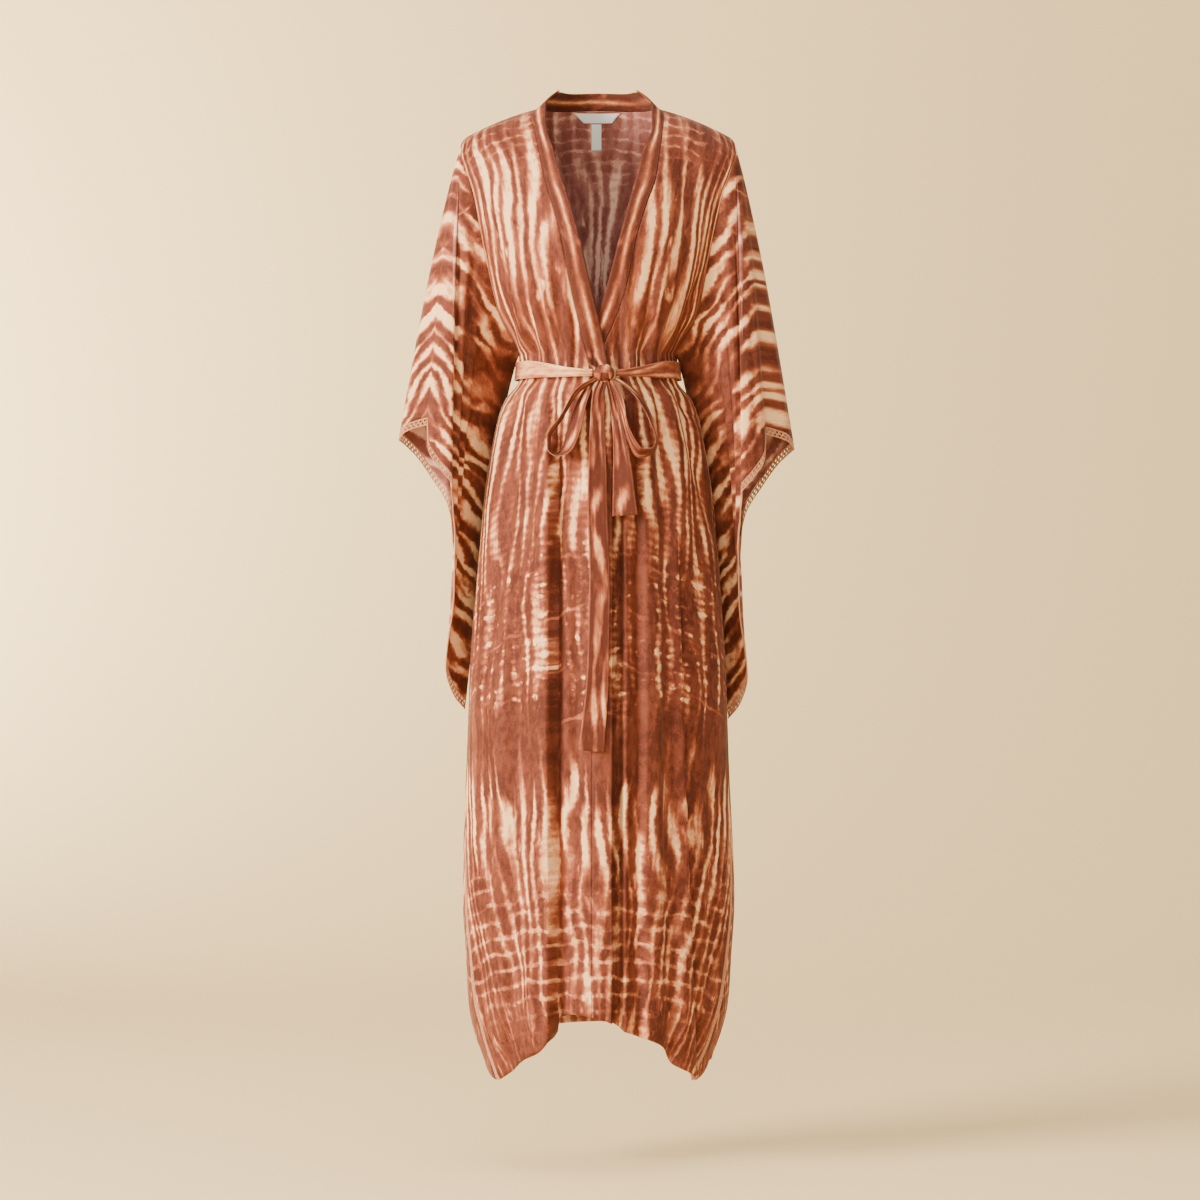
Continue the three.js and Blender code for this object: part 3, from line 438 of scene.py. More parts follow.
def make_mesh(name, points, faces, uv=None, materials=(), material_index=None):
    """A mesh object from arrays: points in millimetres, faces with three or four corners."""
    corners = faces.shape[1]
    mesh = bpy.data.meshes.new(name)
    mesh.vertices.add(len(points))
    mesh.vertices.foreach_set("co", (points * MM).astype(np.float32).ravel())
    mesh.loops.add(faces.size)
    mesh.loops.foreach_set("vertex_index", faces.astype(np.int32).ravel())
    mesh.polygons.add(len(faces))
    mesh.polygons.foreach_set("loop_start", np.arange(0, faces.size, corners, dtype=np.int32))
    for material in materials:
        mesh.materials.append(material)
    if material_index is not None:
        mesh.polygons.foreach_set("material_index", material_index.astype(np.int32))
    mesh.update(calc_edges=True)
    mesh.polygons.foreach_set("use_smooth", np.ones(len(faces), dtype=bool))
    if uv is not None:
        layer = mesh.uv_layers.new(name="cloth")
        layer.data.foreach_set("uv", (uv[faces.ravel()] * MM).astype(np.float32).ravel())
    mesh.validate()
    thing = bpy.data.objects.new(name, mesh)
    bpy.context.collection.objects.link(thing)
    return thing


def wall(name, grid, uv, thick, materials, closed=False, first_normals=None, soft_edge=0.0):
    """Cloth on a grid of points: an outer skin, an inner skin and a rim. soft_edge thins both long edges."""
    rows, count = grid.shape[:2]
    normals = facing(grid, closed)
    if first_normals is not None:
        agree = np.sign((first_normals * normals[0]).sum())
        used = np.linalg.norm(first_normals, axis=1) > 0
        normals[0][used] = first_normals[used] * agree
    half = np.full(count, thick / 2)
    if soft_edge and not closed:
        across = np.abs(np.linspace(-1, 1, count))
        half = half * (1 - soft_edge * across**6)
    out = grid + normals * half[None, :, None]
    inner = grid - normals * half[None, :, None]
    points = np.concatenate([out.reshape(-1, 3), inner.reshape(-1, 3)])
    size = rows * count
    wide = count if closed else count - 1
    i, j = np.meshgrid(np.arange(rows - 1), np.arange(wide), indexing="ij")
    following = (j + 1) % count
    a = (i * count + j).ravel()
    b = (i * count + following).ravel()
    outer = np.stack([a, a + count, b + count, b], axis=1)
    inside = np.stack([a, b, b + count, a + count], axis=1) + size
    j = np.arange(wide)
    following = (j + 1) % count
    low = (rows - 1) * count
    rims = [
        np.stack([j, following, following + size, j + size], axis=1),
        np.stack([low + j, low + j + size, low + following + size, low + following], axis=1),
    ]
    if not closed:
        a = np.arange(rows - 1) * count
        b = a + count - 1
        rims.append(np.stack([a, a + size, a + count + size, a + count], axis=1))
        rims.append(np.stack([b, b + count, b + count + size, b + size], axis=1))
    quads = np.concatenate([outer, inside, *rims])
    # The skin that looks outwards, and the rims, have the cloth's face, and the other skin has its back
    middle = grid.mean(axis=1, keepdims=True) if closed else np.zeros(3)
    looks_out = (normals * (grid - middle) * [1, 1, 0]).sum() > 0
    rim_count = sum(map(len, rims))
    skin = np.repeat([not looks_out, looks_out, False], [len(outer), len(inside), rim_count])
    if signed_volume(points, quads) < 0:
        quads = quads[:, ::-1]
    both = np.concatenate([uv.reshape(-1, 2), uv.reshape(-1, 2)])
    return make_mesh(f"{name}_cloth", points, quads, both, materials, skin)


FRONT_COLUMN_SHARES = np.linspace(0, 1, FRONT_STEPS + 1)
BACK_COLUMN_SHARES = np.linspace(0, 1, BACK_STEPS + 1)
FLAT_RADIUS = 165


def seam_angle():
    return np.where(IN_SKIRT, skirt["seam"](-mix(WAIST, -HEM_SIDE, FALLS)), 90.0)


def side_gap():
    gap = SEAM / 2 / HALF_WIDTH / DEGREE
    level = mix(WAIST, -hem["below"](seam_angle()), FALLS)
    return np.where(level < SIDE_LACE_TOP, gap + SIDE_LACE_HALF_DEGREES, gap)


def body_map(angles, points, middle):
    """Where each point lies on the dyed cloth: round the body from its middle, and down."""
    return np.stack([(angles - middle) * DEGREE * FLAT_RADIUS, -points[..., 2]], axis=-1)


def front_grid(side):
    """A front, from the band's seam out to the armhole and the side seam."""
    seam = angle_at(band_line("left_seam" if side > 0 else "right_seam") + side * SEAM)
    end = side * (seam_angle() - side_gap())
    angles = mix(seam[:, None], end[:, None], FRONT_COLUMN_SHARES[None, :])
    points = body_points(angles)
    points[0, :, 1] -= SEAM / 2
    if side > 0:
        points = tuck(points)
    return points, body_map(angles, points, 0)


def back_grid():
    start = seam_angle() + side_gap()
    angles = mix(start[:, None], 360 - start[:, None], BACK_COLUMN_SHARES[None, :])
    points = body_points(angles)
    points[0, :, 1] += SEAM / 2
    return points, body_map(angles, points, 180)


def shoulder_normals(line):
    """Normals that keep the walls' ends upright and parallel along the shoulder seam."""
    run = np.gradient(line, axis=0)
    upright = unit(np.stack([-run[:, 2], np.zeros(len(line)), run[:, 0]], axis=-1))
    upright[upright[:, 2] < 0] *= -1
    upright[np.abs(line[:, 0]) < NECK_HALF] = 0
    return upright


def armhole_ring(front, back, back_column, step):
    """The sleeve's ring at the armhole: down the front panel's edge and up the back panel's edge."""
    count = len(ARMHOLE)
    front_facing = facing(front)[:count, -1]
    back_facing = facing(back)[:count, back_column]
    edges = []
    for points, inner, normal in (
        (front[:count, -1], front[:count, -2], front_facing),
        (back[:count, back_column], back[:count, back_column + step], back_facing),
    ):
        flat = points * [1, 1, 0]
        outward = np.where((normal * flat).sum(axis=1) < 0, -1.0, 1.0)
        edges.append((points, unit(points - inner), normal * outward[:, None]))
    (front_points, front_out, front_normal), (back_points, back_out, back_normal) = edges

    def ring(a, b, joined):
        ends = [(a[k] + b[k]) / 2 if joined else unit(a[k] + b[k]) for k in (0, -1)]
        return np.concatenate([ends[0][None], a[1:-1], ends[1][None], b[-2:0:-1]])

    share = np.concatenate([ARMHOLE, ARMHOLE[-2:0:-1]])
    is_front = np.arange(len(share)) < count
    return {
        "point": ring(front_points, back_points, True),
        "out": ring(front_out, back_out, False),
        "normal": ring(front_normal, back_normal, False),
        "share": share,
        "is_front": is_front,
    }


def cuff_line(which, axis):
    return follow([{"share": row["share"], "at": row[which][axis]} for row in CUFF], "share", "at")


cuff_lines = {which: [cuff_line(which, axis) for axis in range(3)] for which in ("front", "back")}


def sleeve_points(side, ring, length, gap):
    """Points of the sleeve: for each share of its length, the whole ring."""
    share, is_front = ring["share"], ring["is_front"]
    ends = zip(cuff_lines["front"], cuff_lines["back"])
    end = np.stack([np.where(is_front, ahead(share), behind(share)) for ahead, behind in ends], axis=-1)
    shift = LEFT_CUFF_SHIFT if side > 0 else {"out": 0, "down": 0}
    end[:, 0] = side * (end[:, 0] + shift["out"])
    end[:, 2] -= shift["down"]
    start = ring["point"] + ring["out"] * gap[:, None]
    length = np.asarray(length, float)[:, None]
    bulge = np.sin(math.pi * length**BOW_EARLY)
    grid = start[None] + (end - start)[None] * length[..., None]
    flat = grid[..., [0, 2]].copy()
    grid[..., 0] += side * bulge * bow["out"](share)
    grid[..., 1] += bulge * np.where(is_front, bow["front"](share), bow["back"](share))
    flat[..., 1] *= -1
    return grid, flat


# Creases in the sleeves: where each one lies round the ring and along the sleeve, by shares, and its depth
SLEEVE_CREASES = table(
    "wall at to from end deep wide",
    ("front", 0.1, 0.088, 0.05, 1.1, 6, 0.012), ("front", 0.17, 0.12, 0.1, 1.1, 3.4, 0.022),
    ("front", 0.3, 0.2, 0.05, 1.1, -3, 0.05), ("front", 0.42, 0.36, 0.02, 0.8, 3.6, 0.05),
    ("front", 0.62, 0.5, 0.05, 1.1, -3, 0.06), ("front", 0.74, 0.66, 0.1, 0.9, 3.4, 0.05),
    ("front", 0.05, 0.052, 0.35, 1.1, 2, 0.006), ("front", 0.017, 0.016, 0.2, 1.1, 1.4, 0.006),
    ("back", 0.04, 0.03, 0.2, 1.1, 2.4, 0.012), ("back", 0.12, 0.09, 0.15, 1.1, 3, 0.03),
    ("back", 0.27, 0.2, 0.1, 1.1, -3, 0.05), ("back", 0.4, 0.34, 0.05, 0.9, 3.6, 0.05),
    ("back", 0.6, 0.5, 0.05, 1.1, -3, 0.06), ("back", 0.76, 0.68, 0.1, 1.0, 3.4, 0.05),
)


def sleeve_sunk(ring, length):
    depth = np.zeros((len(length), len(ring["share"])))
    along = length[:, None]
    for crease in SLEEVE_CREASES:
        middle = mix(crease["at"], crease["to"], along)
        span = crease["end"] - crease["from"]
        t = (along - crease["from"]) / span
        ends = smooth(0, CREASE_END, t) * smooth(1, 1 - CREASE_END, t)
        here = ring["is_front"] == (crease["wall"] == "front")
        off = (ring["share"][None] - middle) / crease["wide"]
        depth = depth + crease["deep"] * ends * here * np.exp(-(off**2))
    return depth


# The outermost layer's cloth is turned back at its fold, so the dye's lines turn there too
TURNED_SHARE = 0.026
TURNED = {-1: -1.0, 1: -0.15}


def turned_map(side, ring, flat):
    fold = int(np.argmin(np.abs(ring["share"] - TURNED_SHARE) + 10 * ~ring["is_front"]))
    beyond = ring["is_front"] & (ring["share"] < TURNED_SHARE)
    line = flat[:, fold : fold + 1, 0]
    edge = flat[:, :1, 0].copy()
    flat[..., 0] = np.where(beyond[None], line + TURNED[side] * (flat[..., 0] - line), flat[..., 0])
    moved = (edge - flat[:, :1, 0]) * (1 - ring["share"])
    flat[..., 0] -= np.where(ring["is_front"], 0, moved)
    return flat


def sample(grid, rows, places, closed):
    """Points of a grid between its own: rows from 0 to 1 along it, places from 0 to 1 round it."""
    count = grid.shape[1]
    rows, places = np.broadcast_arrays(rows, places)
    r = np.clip(rows, 0, 1) * (grid.shape[0] - 1)
    c = places * count if closed else np.clip(places, 0, 1) * (count - 1)
    i = np.clip(np.floor(r).astype(int), 0, grid.shape[0] - 2)
    j = np.floor(c).astype(int)
    j = j if closed else np.clip(j, 0, count - 2)
    s, t = (r - i)[..., None], (c - j)[..., None]
    left, right = j % count, (j + 1) % count
    top = grid[i, left] * (1 - t) + grid[i, right] * t
    low = grid[i + 1, left] * (1 - t) + grid[i + 1, right] * t
    return top * (1 - s) + low * s


def even_places(line, count, closed):
    """Places from 0 to 1 along a line of points that lie at even distances."""
    points = np.concatenate([line, line[:1]]) if closed else line
    run = np.concatenate([[0], np.cumsum(np.linalg.norm(np.diff(points, axis=0), axis=1))])
    return np.interp(np.linspace(0, run[-1], count + 1), run, np.linspace(0, 1, len(points))), run[-1]


def tube_faces(first, rings, sides, closed):
    """Faces between rings of points, counted from the first point. A closed tube joins its ends."""
    i, j = np.meshgrid(np.arange(rings if closed else rings - 1), np.arange(sides), indexing="ij")
    here, following = first + i * sides, first + (i + 1) % rings * sides
    after = (j + 1) % sides
    return np.stack([here + j, here + after, following + after, following + j], axis=-1).reshape(-1, 4)


HOLE_SIDES = 12
RING_SIDES = 5
CORD_SIDES = 6
CORD_STEPS = 2
THREAD = 0.42
LACE_MARGIN = 0.13


def lace(name, grid, closed, pitch, hole, material):
    """Open lace on a grid of points: a strip with two staggered rows of round holes, each in a ring
    of thread, between two corded edges. The grid's rows run across the strip.
    """
    normals = facing(grid, closed)
    line = grid[grid.shape[0] // 2]
    _, run = even_places(line, 8, closed)
    cells = max(int(round(run / pitch)), 3)
    places, _ = even_places(line, cells * 2, closed)
    across = np.linalg.norm(grid[-1] - grid[0], axis=1).mean()
    step = (1 - 2 * LACE_MARGIN) / 2
    verts, faces = [], []
    total = 0

    def at(row, place, lift):
        row, place = np.broadcast_arrays(np.asarray(row, float), np.asarray(place, float))
        spot = sample(grid, row, place, closed)
        return spot + unit(sample(normals, row, place, closed)) * np.asarray(lift, float)[..., None]

    turn = np.arange(HOLE_SIDES) / HOLE_SIDES * 2 * math.pi + math.pi / HOLE_SIDES
    square = np.stack([np.cos(turn), np.sin(turn)], axis=-1)
    square = square / np.abs(square).max(axis=1, keepdims=True)
    for row in range(2):
        for cell in range(cells - (0 if closed else row)):
            spot = cell * 2 + 1 + row
            middle = places[min(spot, cells * 2)]
            half = (places[min(spot, cells * 2)] - places[spot - 1]) or (places[1] - places[0])
            level = LACE_MARGIN + step * (row + 0.5)
            hole_row = hole / 2 / across
            hole_place = half * hole / pitch
            outer = (level + square[:, 1] * step / 2, middle + square[:, 0] * half)
            inner = (level + np.sin(turn) * hole_row, middle + np.cos(turn) * hole_place)
            if closed:
                outer, inner = (outer[0], outer[1] % 1), (inner[0], inner[1] % 1)
            rings = [
                at(*outer, np.full(HOLE_SIDES, LACE / 2)),
                at(*inner, np.full(HOLE_SIDES, LACE / 2)),
                at(*inner, np.full(HOLE_SIDES, -LACE / 2)),
                at(*outer, np.full(HOLE_SIDES, -LACE / 2)),
            ]
            verts.extend(rings)
            faces.append(tube_faces(total, 4, HOLE_SIDES, True))
            total += 4 * HOLE_SIDES
            for r in range(RING_SIDES):
                roll = r / RING_SIDES * 2 * math.pi
                wide = 1 + THREAD / (hole / 2) * (0.9 + math.cos(roll))
                lift = LACE / 2 + THREAD * (0.3 + math.sin(roll))
                spots = (level + np.sin(turn) * hole_row * wide, middle + np.cos(turn) * hole_place * wide)
                if closed:
                    spots = (spots[0], spots[1] % 1)
                verts.append(at(*spots, np.full(HOLE_SIDES, lift)))
            faces.append(tube_faces(total, RING_SIDES, HOLE_SIDES, True))
            total += RING_SIDES * HOLE_SIDES
    beads = cells * 4
    edge_places, _ = even_places(line, beads * CORD_STEPS, closed)
    for level in (LACE_MARGIN * 0.5, 1 - LACE_MARGIN * 0.5):
        spine = edge_places[:-1] if closed else edge_places
        swell = 1 + 0.28 * np.abs(np.sin(np.arange(len(spine)) * math.pi / (2 * CORD_STEPS) + 0.4))
        profile = np.arange(CORD_SIDES) / CORD_SIDES * 2 * math.pi
        rows = level + np.sin(profile)[None, :] * LACE_MARGIN * 0.5 * swell[:, None]
        lifts = np.cos(profile)[None, :] * LACE * 0.75 * swell[:, None]
        tube = at(rows, np.broadcast_to(spine[:, None], rows.shape), lifts)
        verts.append(tube.reshape(-1, 3))
        faces.append(tube_faces(total, len(spine), CORD_SIDES, closed))
        total += len(spine) * CORD_SIDES
    points = np.concatenate(verts)
    quads = np.concatenate(faces)
    return make_mesh(f"{name}_thread", points, quads, points[:, [0, 2]] * [1, -1], [material])


def front_depth(x, z):
    half = skirt["half"](-z)
    share = np.sqrt(np.clip(1 - (x / half) ** 2, 0, 1))
    return mix(chest["front_seam"](1), skirt["front"](-z), share)


RIGHT_LOOP = table(
    "x z off wide turn",
    (-2.6, -372.4, 17, 8, 52), (-27, -388, 18, 15, 68), (-50, -425, 17, 20, 76), (-66, -450, 18, 22, 80),
    (-66, -466, 18, 22, 82), (-55, -475, 18, 23, 76), (-42, -467, 17, 24, 58), (-32, -440, 16, 23, 44),
    (-23, -408, 14, 18, 40), (-12, -384, 10, 11, 40), (-7, -375, 8, 7, 40),
)
LEFT_LOOP = table(
    "x z off wide turn",
    (18.4, -374, 17, 7, -50), (27, -390, 17, 13, -60), (33, -410, 19, 17, -70), (37, -431, 21, 20, -74),
    (45, -456, 21, 22, -66), (57, -472, 18, 23, -58), (73, -468, 18, 23, -72), (79, -453, 18, 22, -80),
    (70, -424, 17, 20, -74), (55, -398, 16, 17, -68), (38, -381, 15, 13, -60), (22, -371, 15, 7, -50),
)
RIGHT_TAIL = table(
    "x z off wide turn",
    (6, -375.6, 13, 12, 14), (0, -400, 13, 17, 10), (-1, -450, 9, 21, 7), (-1, -532, 7, 26, 5),
    (2, -640, 6, 27, 4), (0, -760, 6, 29, 2), (-9, -871, 6, 34, 0),
)
LEFT_TAIL = table(
    "x z off wide turn",
    (13.4, -374.4, 10, 6, -10), (20, -398, 5.2, 10, -12), (28.5, -450, 4.8, 17, -8),
    (33, -500, 5.5, 26, -5), (36, -556, 5.5, 34, -2),
)
STRIP_COLUMNS = 16
STRIP_PLEAT = 1.5
FULL_WIDTH = 34


def strip(name, rows, steps, material, slope=0.0):
    """A strip of belt along a route. It is gathered into pleats where it is narrow, near the knot."""
    line = columns([{**row, "step": i} for i, row in enumerate(rows)], "step")
    step = np.linspace(0, len(rows) - 1, steps + 1)
    ahead = np.minimum(step + 0.05, len(rows) - 1)
    behind = np.maximum(step - 0.05, 0)
    across_run = line["x"](ahead) - line["x"](behind)
    run = unit(np.stack([across_run, np.zeros(len(step)), line["z"](ahead) - line["z"](behind)], axis=-1))
    flat = np.stack([-run[:, 2], np.zeros(len(step)), run[:, 0]], axis=-1)
    turn = line["turn"](step) * DEGREE
    width = flat * np.cos(turn)[:, None] + np.array([0, 1, 0]) * np.sin(turn)[:, None]
    x, z = line["x"](step), line["z"](step)
    middle = np.stack([x, front_depth(x, z) - line["off"](step), z], axis=-1)
    across = np.linspace(-0.5, 0.5, STRIP_COLUMNS + 1)
    wide = line["wide"](step)
    grid = middle[:, None] + width[:, None] * (across[None] * wide[:, None])[..., None]
    face = unit(np.cross(run, width))
    squeeze = np.clip(1 - wide / FULL_WIDTH, 0, 1)
    pleat = np.cos(across * 4 * math.pi + 0.7)[None] * squeeze[:, None] ** 1.5 * STRIP_PLEAT
    pleat = pleat + 0.5 * np.sin(step[:, None] * 1.9 + across[None] * 5) * smooth(0, 1.2, step)[:, None]
    grid = grid + face[:, None] * pleat[..., None]
    if slope:
        last = smooth(steps - 3, steps, np.arange(steps + 1))
        grid[..., 2] += last[:, None] * across[None] * slope
    length = np.concatenate([[0], np.cumsum(np.linalg.norm(np.diff(middle, axis=0), axis=1))])
    uv = np.stack(np.broadcast_arrays(across[None] * FULL_WIDTH, length[:, None]), axis=-1)
    return wall(name, grid, uv, BOW_CLOTH, [material, material], soft_edge=0.55), grid


class Wire:
    """One value in a material's node tree, with the sums that a pattern needs."""

    def __init__(self, tree, socket):
        self.tree = tree
        self.socket = socket

    def calc(self, kind, *others):
        node = self.tree.nodes.new("ShaderNodeMath")
        node.operation = kind
        for place, value in enumerate((self, *others)):
            if isinstance(value, Wire):
                self.tree.links.new(value.socket, node.inputs[place])
            else:
                node.inputs[place].default_value = value
        return Wire(self.tree, node.outputs[0])

    def __add__(self, other):
        return self.calc("ADD", other)

    def __sub__(self, other):
        return self.calc("SUBTRACT", other)

    def __rsub__(self, other):
        return (self * -1) + other

    def __mul__(self, other):
        return self.calc("MULTIPLY", other)

    def __truediv__(self, other):
        return self.calc("DIVIDE", other)

    def step(self, low, high, to_low=0.0, to_high=1.0):
        """A soft step: to_low under low, to_high over high."""
        node = self.tree.nodes.new("ShaderNodeMapRange")
        node.interpolation_type = "SMOOTHSTEP"
        self.tree.links.new(self.socket, node.inputs["Value"])
        for name, value in (("From Min", low), ("From Max", high), ("To Min", to_low), ("To Max", to_high)):
            node.inputs[name].default_value = value
        return Wire(self.tree, node.outputs["Result"])

    def wave(self, period, shift=0.0):
        """A wave from 0 to 1 along the value."""
        turned = self * (2 * math.pi / period) + shift
        return turned.calc("COSINE") * 0.5 + 0.5


def noise(u, v, wide, tall, detail=2.0, layer=0.0):
    """Soft noise from 0 to 1, with blotches about wide by tall millimetres."""
    tree = u.tree
    place = tree.nodes.new("ShaderNodeCombineXYZ")
    tree.links.new((u / wide).socket, place.inputs[0])
    tree.links.new((v / tall).socket, place.inputs[1])
    place.inputs[2].default_value = layer
    node = tree.nodes.new("ShaderNodeTexNoise")
    node.inputs["Scale"].default_value = 1.0
    node.inputs["Detail"].default_value = detail
    tree.links.new(place.outputs[0], node.inputs["Vector"])
    return Wire(tree, node.outputs[0])


def window(v, start, end, soft):
    """1 between two heights and 0 outside them, with soft ends."""
    return v.step(start - soft, start + soft) * v.step(end + soft, end - soft)


def new_group(name):
    tree = bpy.data.node_groups.new(name, "ShaderNodeTree")
    for socket in ("Across", "Down"):
        tree.interface.new_socket(socket, in_out="INPUT", socket_type="NodeSocketFloat")
    tree.interface.new_socket("Light", in_out="OUTPUT", socket_type="NodeSocketFloat")
    source = tree.nodes.new("NodeGroupInput")
    sink = tree.nodes.new("NodeGroupOutput")
    return tree, Wire(tree, source.outputs[0]), Wire(tree, source.outputs[1]), sink


def use_group(group, across, down):
    """The light value that a group gives for a place on the cloth."""
    node = across.tree.nodes.new("ShaderNodeGroup")
    node.node_tree = group
    across.tree.links.new(across.socket, node.inputs[0])
    across.tree.links.new(down.socket, node.inputs[1])
    return Wire(across.tree, node.outputs[0])


def columns_of(s, along, period, length, layer):
    """Waves across the cloth, uneven in width and spacing, that run a long way along it. From 0 to 1."""
    drift = (noise(s, along, period * 2.6, length, 1.0, layer + 3.1) - 0.5) * (period * 3.4)
    regular = (s + drift).wave(period)
    broken = noise(s, along, period * 0.9, length * 0.5, 2.0, layer + 7.7) - 0.5
    thin = noise(s, along, period * 0.34, length * 0.6, 1.0, layer) - 0.5
    return regular * 0.56 + broken * 1.35 + thin * 0.5 + 0.22


def cracks(value, pitch, half, shift=0.0):
    """Thin light lines at an even pitch."""
    return value.wave(pitch, shift).step(1 - half, 1.0)


def profile(value, rows):
    """Three strengths that change with a value, one table row after another."""
    tree = value.tree
    ramp = tree.nodes.new("ShaderNodeValToRGB")
    ramp.color_ramp.interpolation = "LINEAR"
    start, end = rows[0][0], rows[-1][0]
    stops = ramp.color_ramp.elements
    while len(stops) < len(rows):
        stops.new(0.5)
    for stop, (at, *strengths) in zip(stops, rows):
        stop.position = (at - start) / (end - start)
        stop.color = (*strengths, 1.0)
    share = (value - start) / (end - start)
    tree.links.new(share.socket, ramp.inputs[0])
    apart = tree.nodes.new("ShaderNodeSeparateColor")
    tree.links.new(ramp.outputs[0], apart.inputs[0])
    return [Wire(tree, output) for output in apart.outputs]


# How the dye changes down the body: streaks, spots and rungs
STREAKS_BY_DEPTH = [
    (0, 0.62, 0.0, 0.8), (50, 0.64, 0.0, 0.85), (92, 0.84, 0.0, 0.3),
    (170, 0.88, 0.0, 0.1), (240, 0.72, 0.0, 0.0),
    (335, 0.52, 0.0, 0.0), (372, 0.82, 0.5, 0.0), (560, 0.78, 0.7, 0.0), (640, 0.56, 1.0, 0.1),
    (800, 0.52, 1.0, 0.1), (850, 0.28, 0.1, 0.0), (895, 0.34, 0.0, 0.0), (945, 0.9, 0.1, 0.0),
    (1040, 0.8, 0.2, 0.4), (1075, 0.72, 0.2, 1.0), (1205, 0.64, 0.1, 1.0), (1235, 0.54, 0.4, 0.2),
    (1340, 0.54, 0.6, 0.1),
]
FAN = {"from": 800, "centre": 1950}
RUNG_PITCH = 22.6
LIFT = 0.1
YOKE_RUNG_PITCH = 15.0
ARC = 0.0009


def watery(u, v):
    """The place on the cloth, moved about a little, as dye creeps."""
    warp_u = noise(u, v, 38, 70, 1.0, 1.0) - 0.5
    warp_v = noise(u, v, 36, 40, 1.0, 2.0) - 0.5
    fine_u = noise(u, v, 6, 8, 2.0, 3.0) - 0.5
    fine_v = noise(u, v, 8, 7, 2.0, 4.0) - 0.5
    return u + warp_u * 15 + fine_u * 6, v + warp_v * 20 + fine_v * 7


def grain(u, v):
    """The dye's unevenness from thread to thread and from one hand's breadth to the next."""
    threads = (noise(u, v, 1.4, 3.0, 2.0, 91.0) - 0.5) * 0.34
    near = (noise(u, v, 7, 15, 3.0, 92.0) - 0.5) * 0.62
    far = (noise(u, v, 34, 60, 1.0, 93.0) - 0.5) * 0.5
    return threads + near + far


def body_dye():
    """How light the body's cloth is: streaks from the shoulders to the hem, beaded and crossed."""
    tree, across, down, sink = new_group("body_dye")
    u = across * 1000
    v = down * 1000
    su, sv = watery(u, v)
    fan = su * (FAN["centre"] - FAN["from"]) / (sv.calc("MAXIMUM", FAN["from"]) * -1 + FAN["centre"])
    zone = v + (noise(fan, v, 9, 400, 1.0, 5.0) - 0.5) * 130 + (noise(u, v, 46, 70, 1.0, 6.0) - 0.5) * 60
    long, spots, rungs = profile(zone, STREAKS_BY_DEPTH)
    arc = sv - u * u * ARC

    field = columns_of(fan, sv, 24, 220, 11.0)
    scallop = arc.wave(11.5) - 0.5
    streak = (field + (long - 0.8) * 0.8 + scallop * spots * 0.18).step(0.22, 0.98)
    streak = streak * (long * 0.4 + 0.62)

    dotted = field * 0.62 + arc.wave(18.5, 1.3) * 0.42 + (noise(u, v, 13, 14, 2.0, 42.0) - 0.5) * 1.3
    dotted = dotted.step(0.62, 1.02) * spots.step(0.7, 1.0)
    slant = cracks(sv - u.calc("ABSOLUTE") * 0.42, 74, 0.02)
    slant = slant * noise(u, v, 60, 26, 1.0, 43.0).step(0.42, 0.62) * 0.5
    dotted = dotted.calc("MAXIMUM", slant * window(v, 600, 860, 30))

    at_yoke = v.step(150, 120)
    rung = arc.wave(RUNG_PITCH) * (1 - at_yoke) + arc.wave(YOKE_RUNG_PITCH) * at_yoke
    gaps = rung.step(0.55, 1.0) * 0.62 + (field - 0.5) * 0.7 + (noise(u, v, 24, 13, 2.0, 71.0) - 0.5) * 1.2
    crossed = gaps.step(0.1, 0.9) * rungs * 0.72
    between = rung.step(0.0, 0.6, 0.66, 1.0)
    streak = streak * ((between - 1) * rungs + 1)

    blots = noise(fan, sv, 17, 46, 2.0, 81.0).step(0.54, 0.72) * 0.72
    blots = blots * (window(zone, 130, 300, 40) + zone.step(1190, 1235) + window(zone, 950, 1060, 30))
    light = streak.calc("MAXIMUM", dotted * 0.85).calc("MAXIMUM", crossed).calc("MAXIMUM", blots)
    tree.links.new((light + grain(u, v) + LIFT).socket, sink.inputs[0])
    return tree


# Painted shade on the sleeves: the light bands are held dark round this point, where the sleeve meets the
# skirt's edge by the belt
SLEEVE_SHADE_CENTRE = {"across": 112, "down": 372}
SLEEVE_PAINTED_SHADE = {"from": 20, "to": 90}
SLEEVE_SLANT = {"across": 0.79, "down": 0.61}


def sleeve_dye():
    """How light the sleeves' cloth is: slanted bands, kept dark by painted shade where the sleeve hangs
    behind the skirt's edge at the belt, crossed by arcs higher up.
    """
    tree, across, down, sink = new_group("sleeve_dye")
    u = across * 1000
    v = down * 1000
    su, sv = watery(u.calc("ABSOLUTE"), v)
    from_u = u.calc("ABSOLUTE") - SLEEVE_SHADE_CENTRE["across"]
    from_v = v - SLEEVE_SHADE_CENTRE["down"]
    reach = (from_u * from_u + from_v * from_v).calc("SQRT")
    s = su * SLEEVE_SLANT["across"] + sv * SLEEVE_SLANT["down"] + u.calc("SIGN") * 37
    along = sv * SLEEVE_SLANT["across"] - su * SLEEVE_SLANT["down"]
    field = columns_of(s, along, 22, 130, 101.0)
    bands = (field + (noise(u, v, 26, 34, 2.0, 103.0) - 0.5) * 1.1).step(0.3, 0.95)
    # Painted shade: the bands are dimmed near the underarm by the belt, where the skirt's edge shades the
    # sleeve
    bands = bands * reach.step(SLEEVE_PAINTED_SHADE["from"], SLEEVE_PAINTED_SHADE["to"], 0.3, 0.95)
    arcs = cracks(along, 23, 0.08) * noise(u, v, 30, 26, 1.0, 104.0).step(0.46, 0.62) * 0.5
    light = bands.calc("MAXIMUM", arcs * v.step(230, 140))
    tree.links.new((light + grain(u, v) + LIFT).socket, sink.inputs[0])
    return tree


BAND_TURNS = {"from": 348, "to": 356}


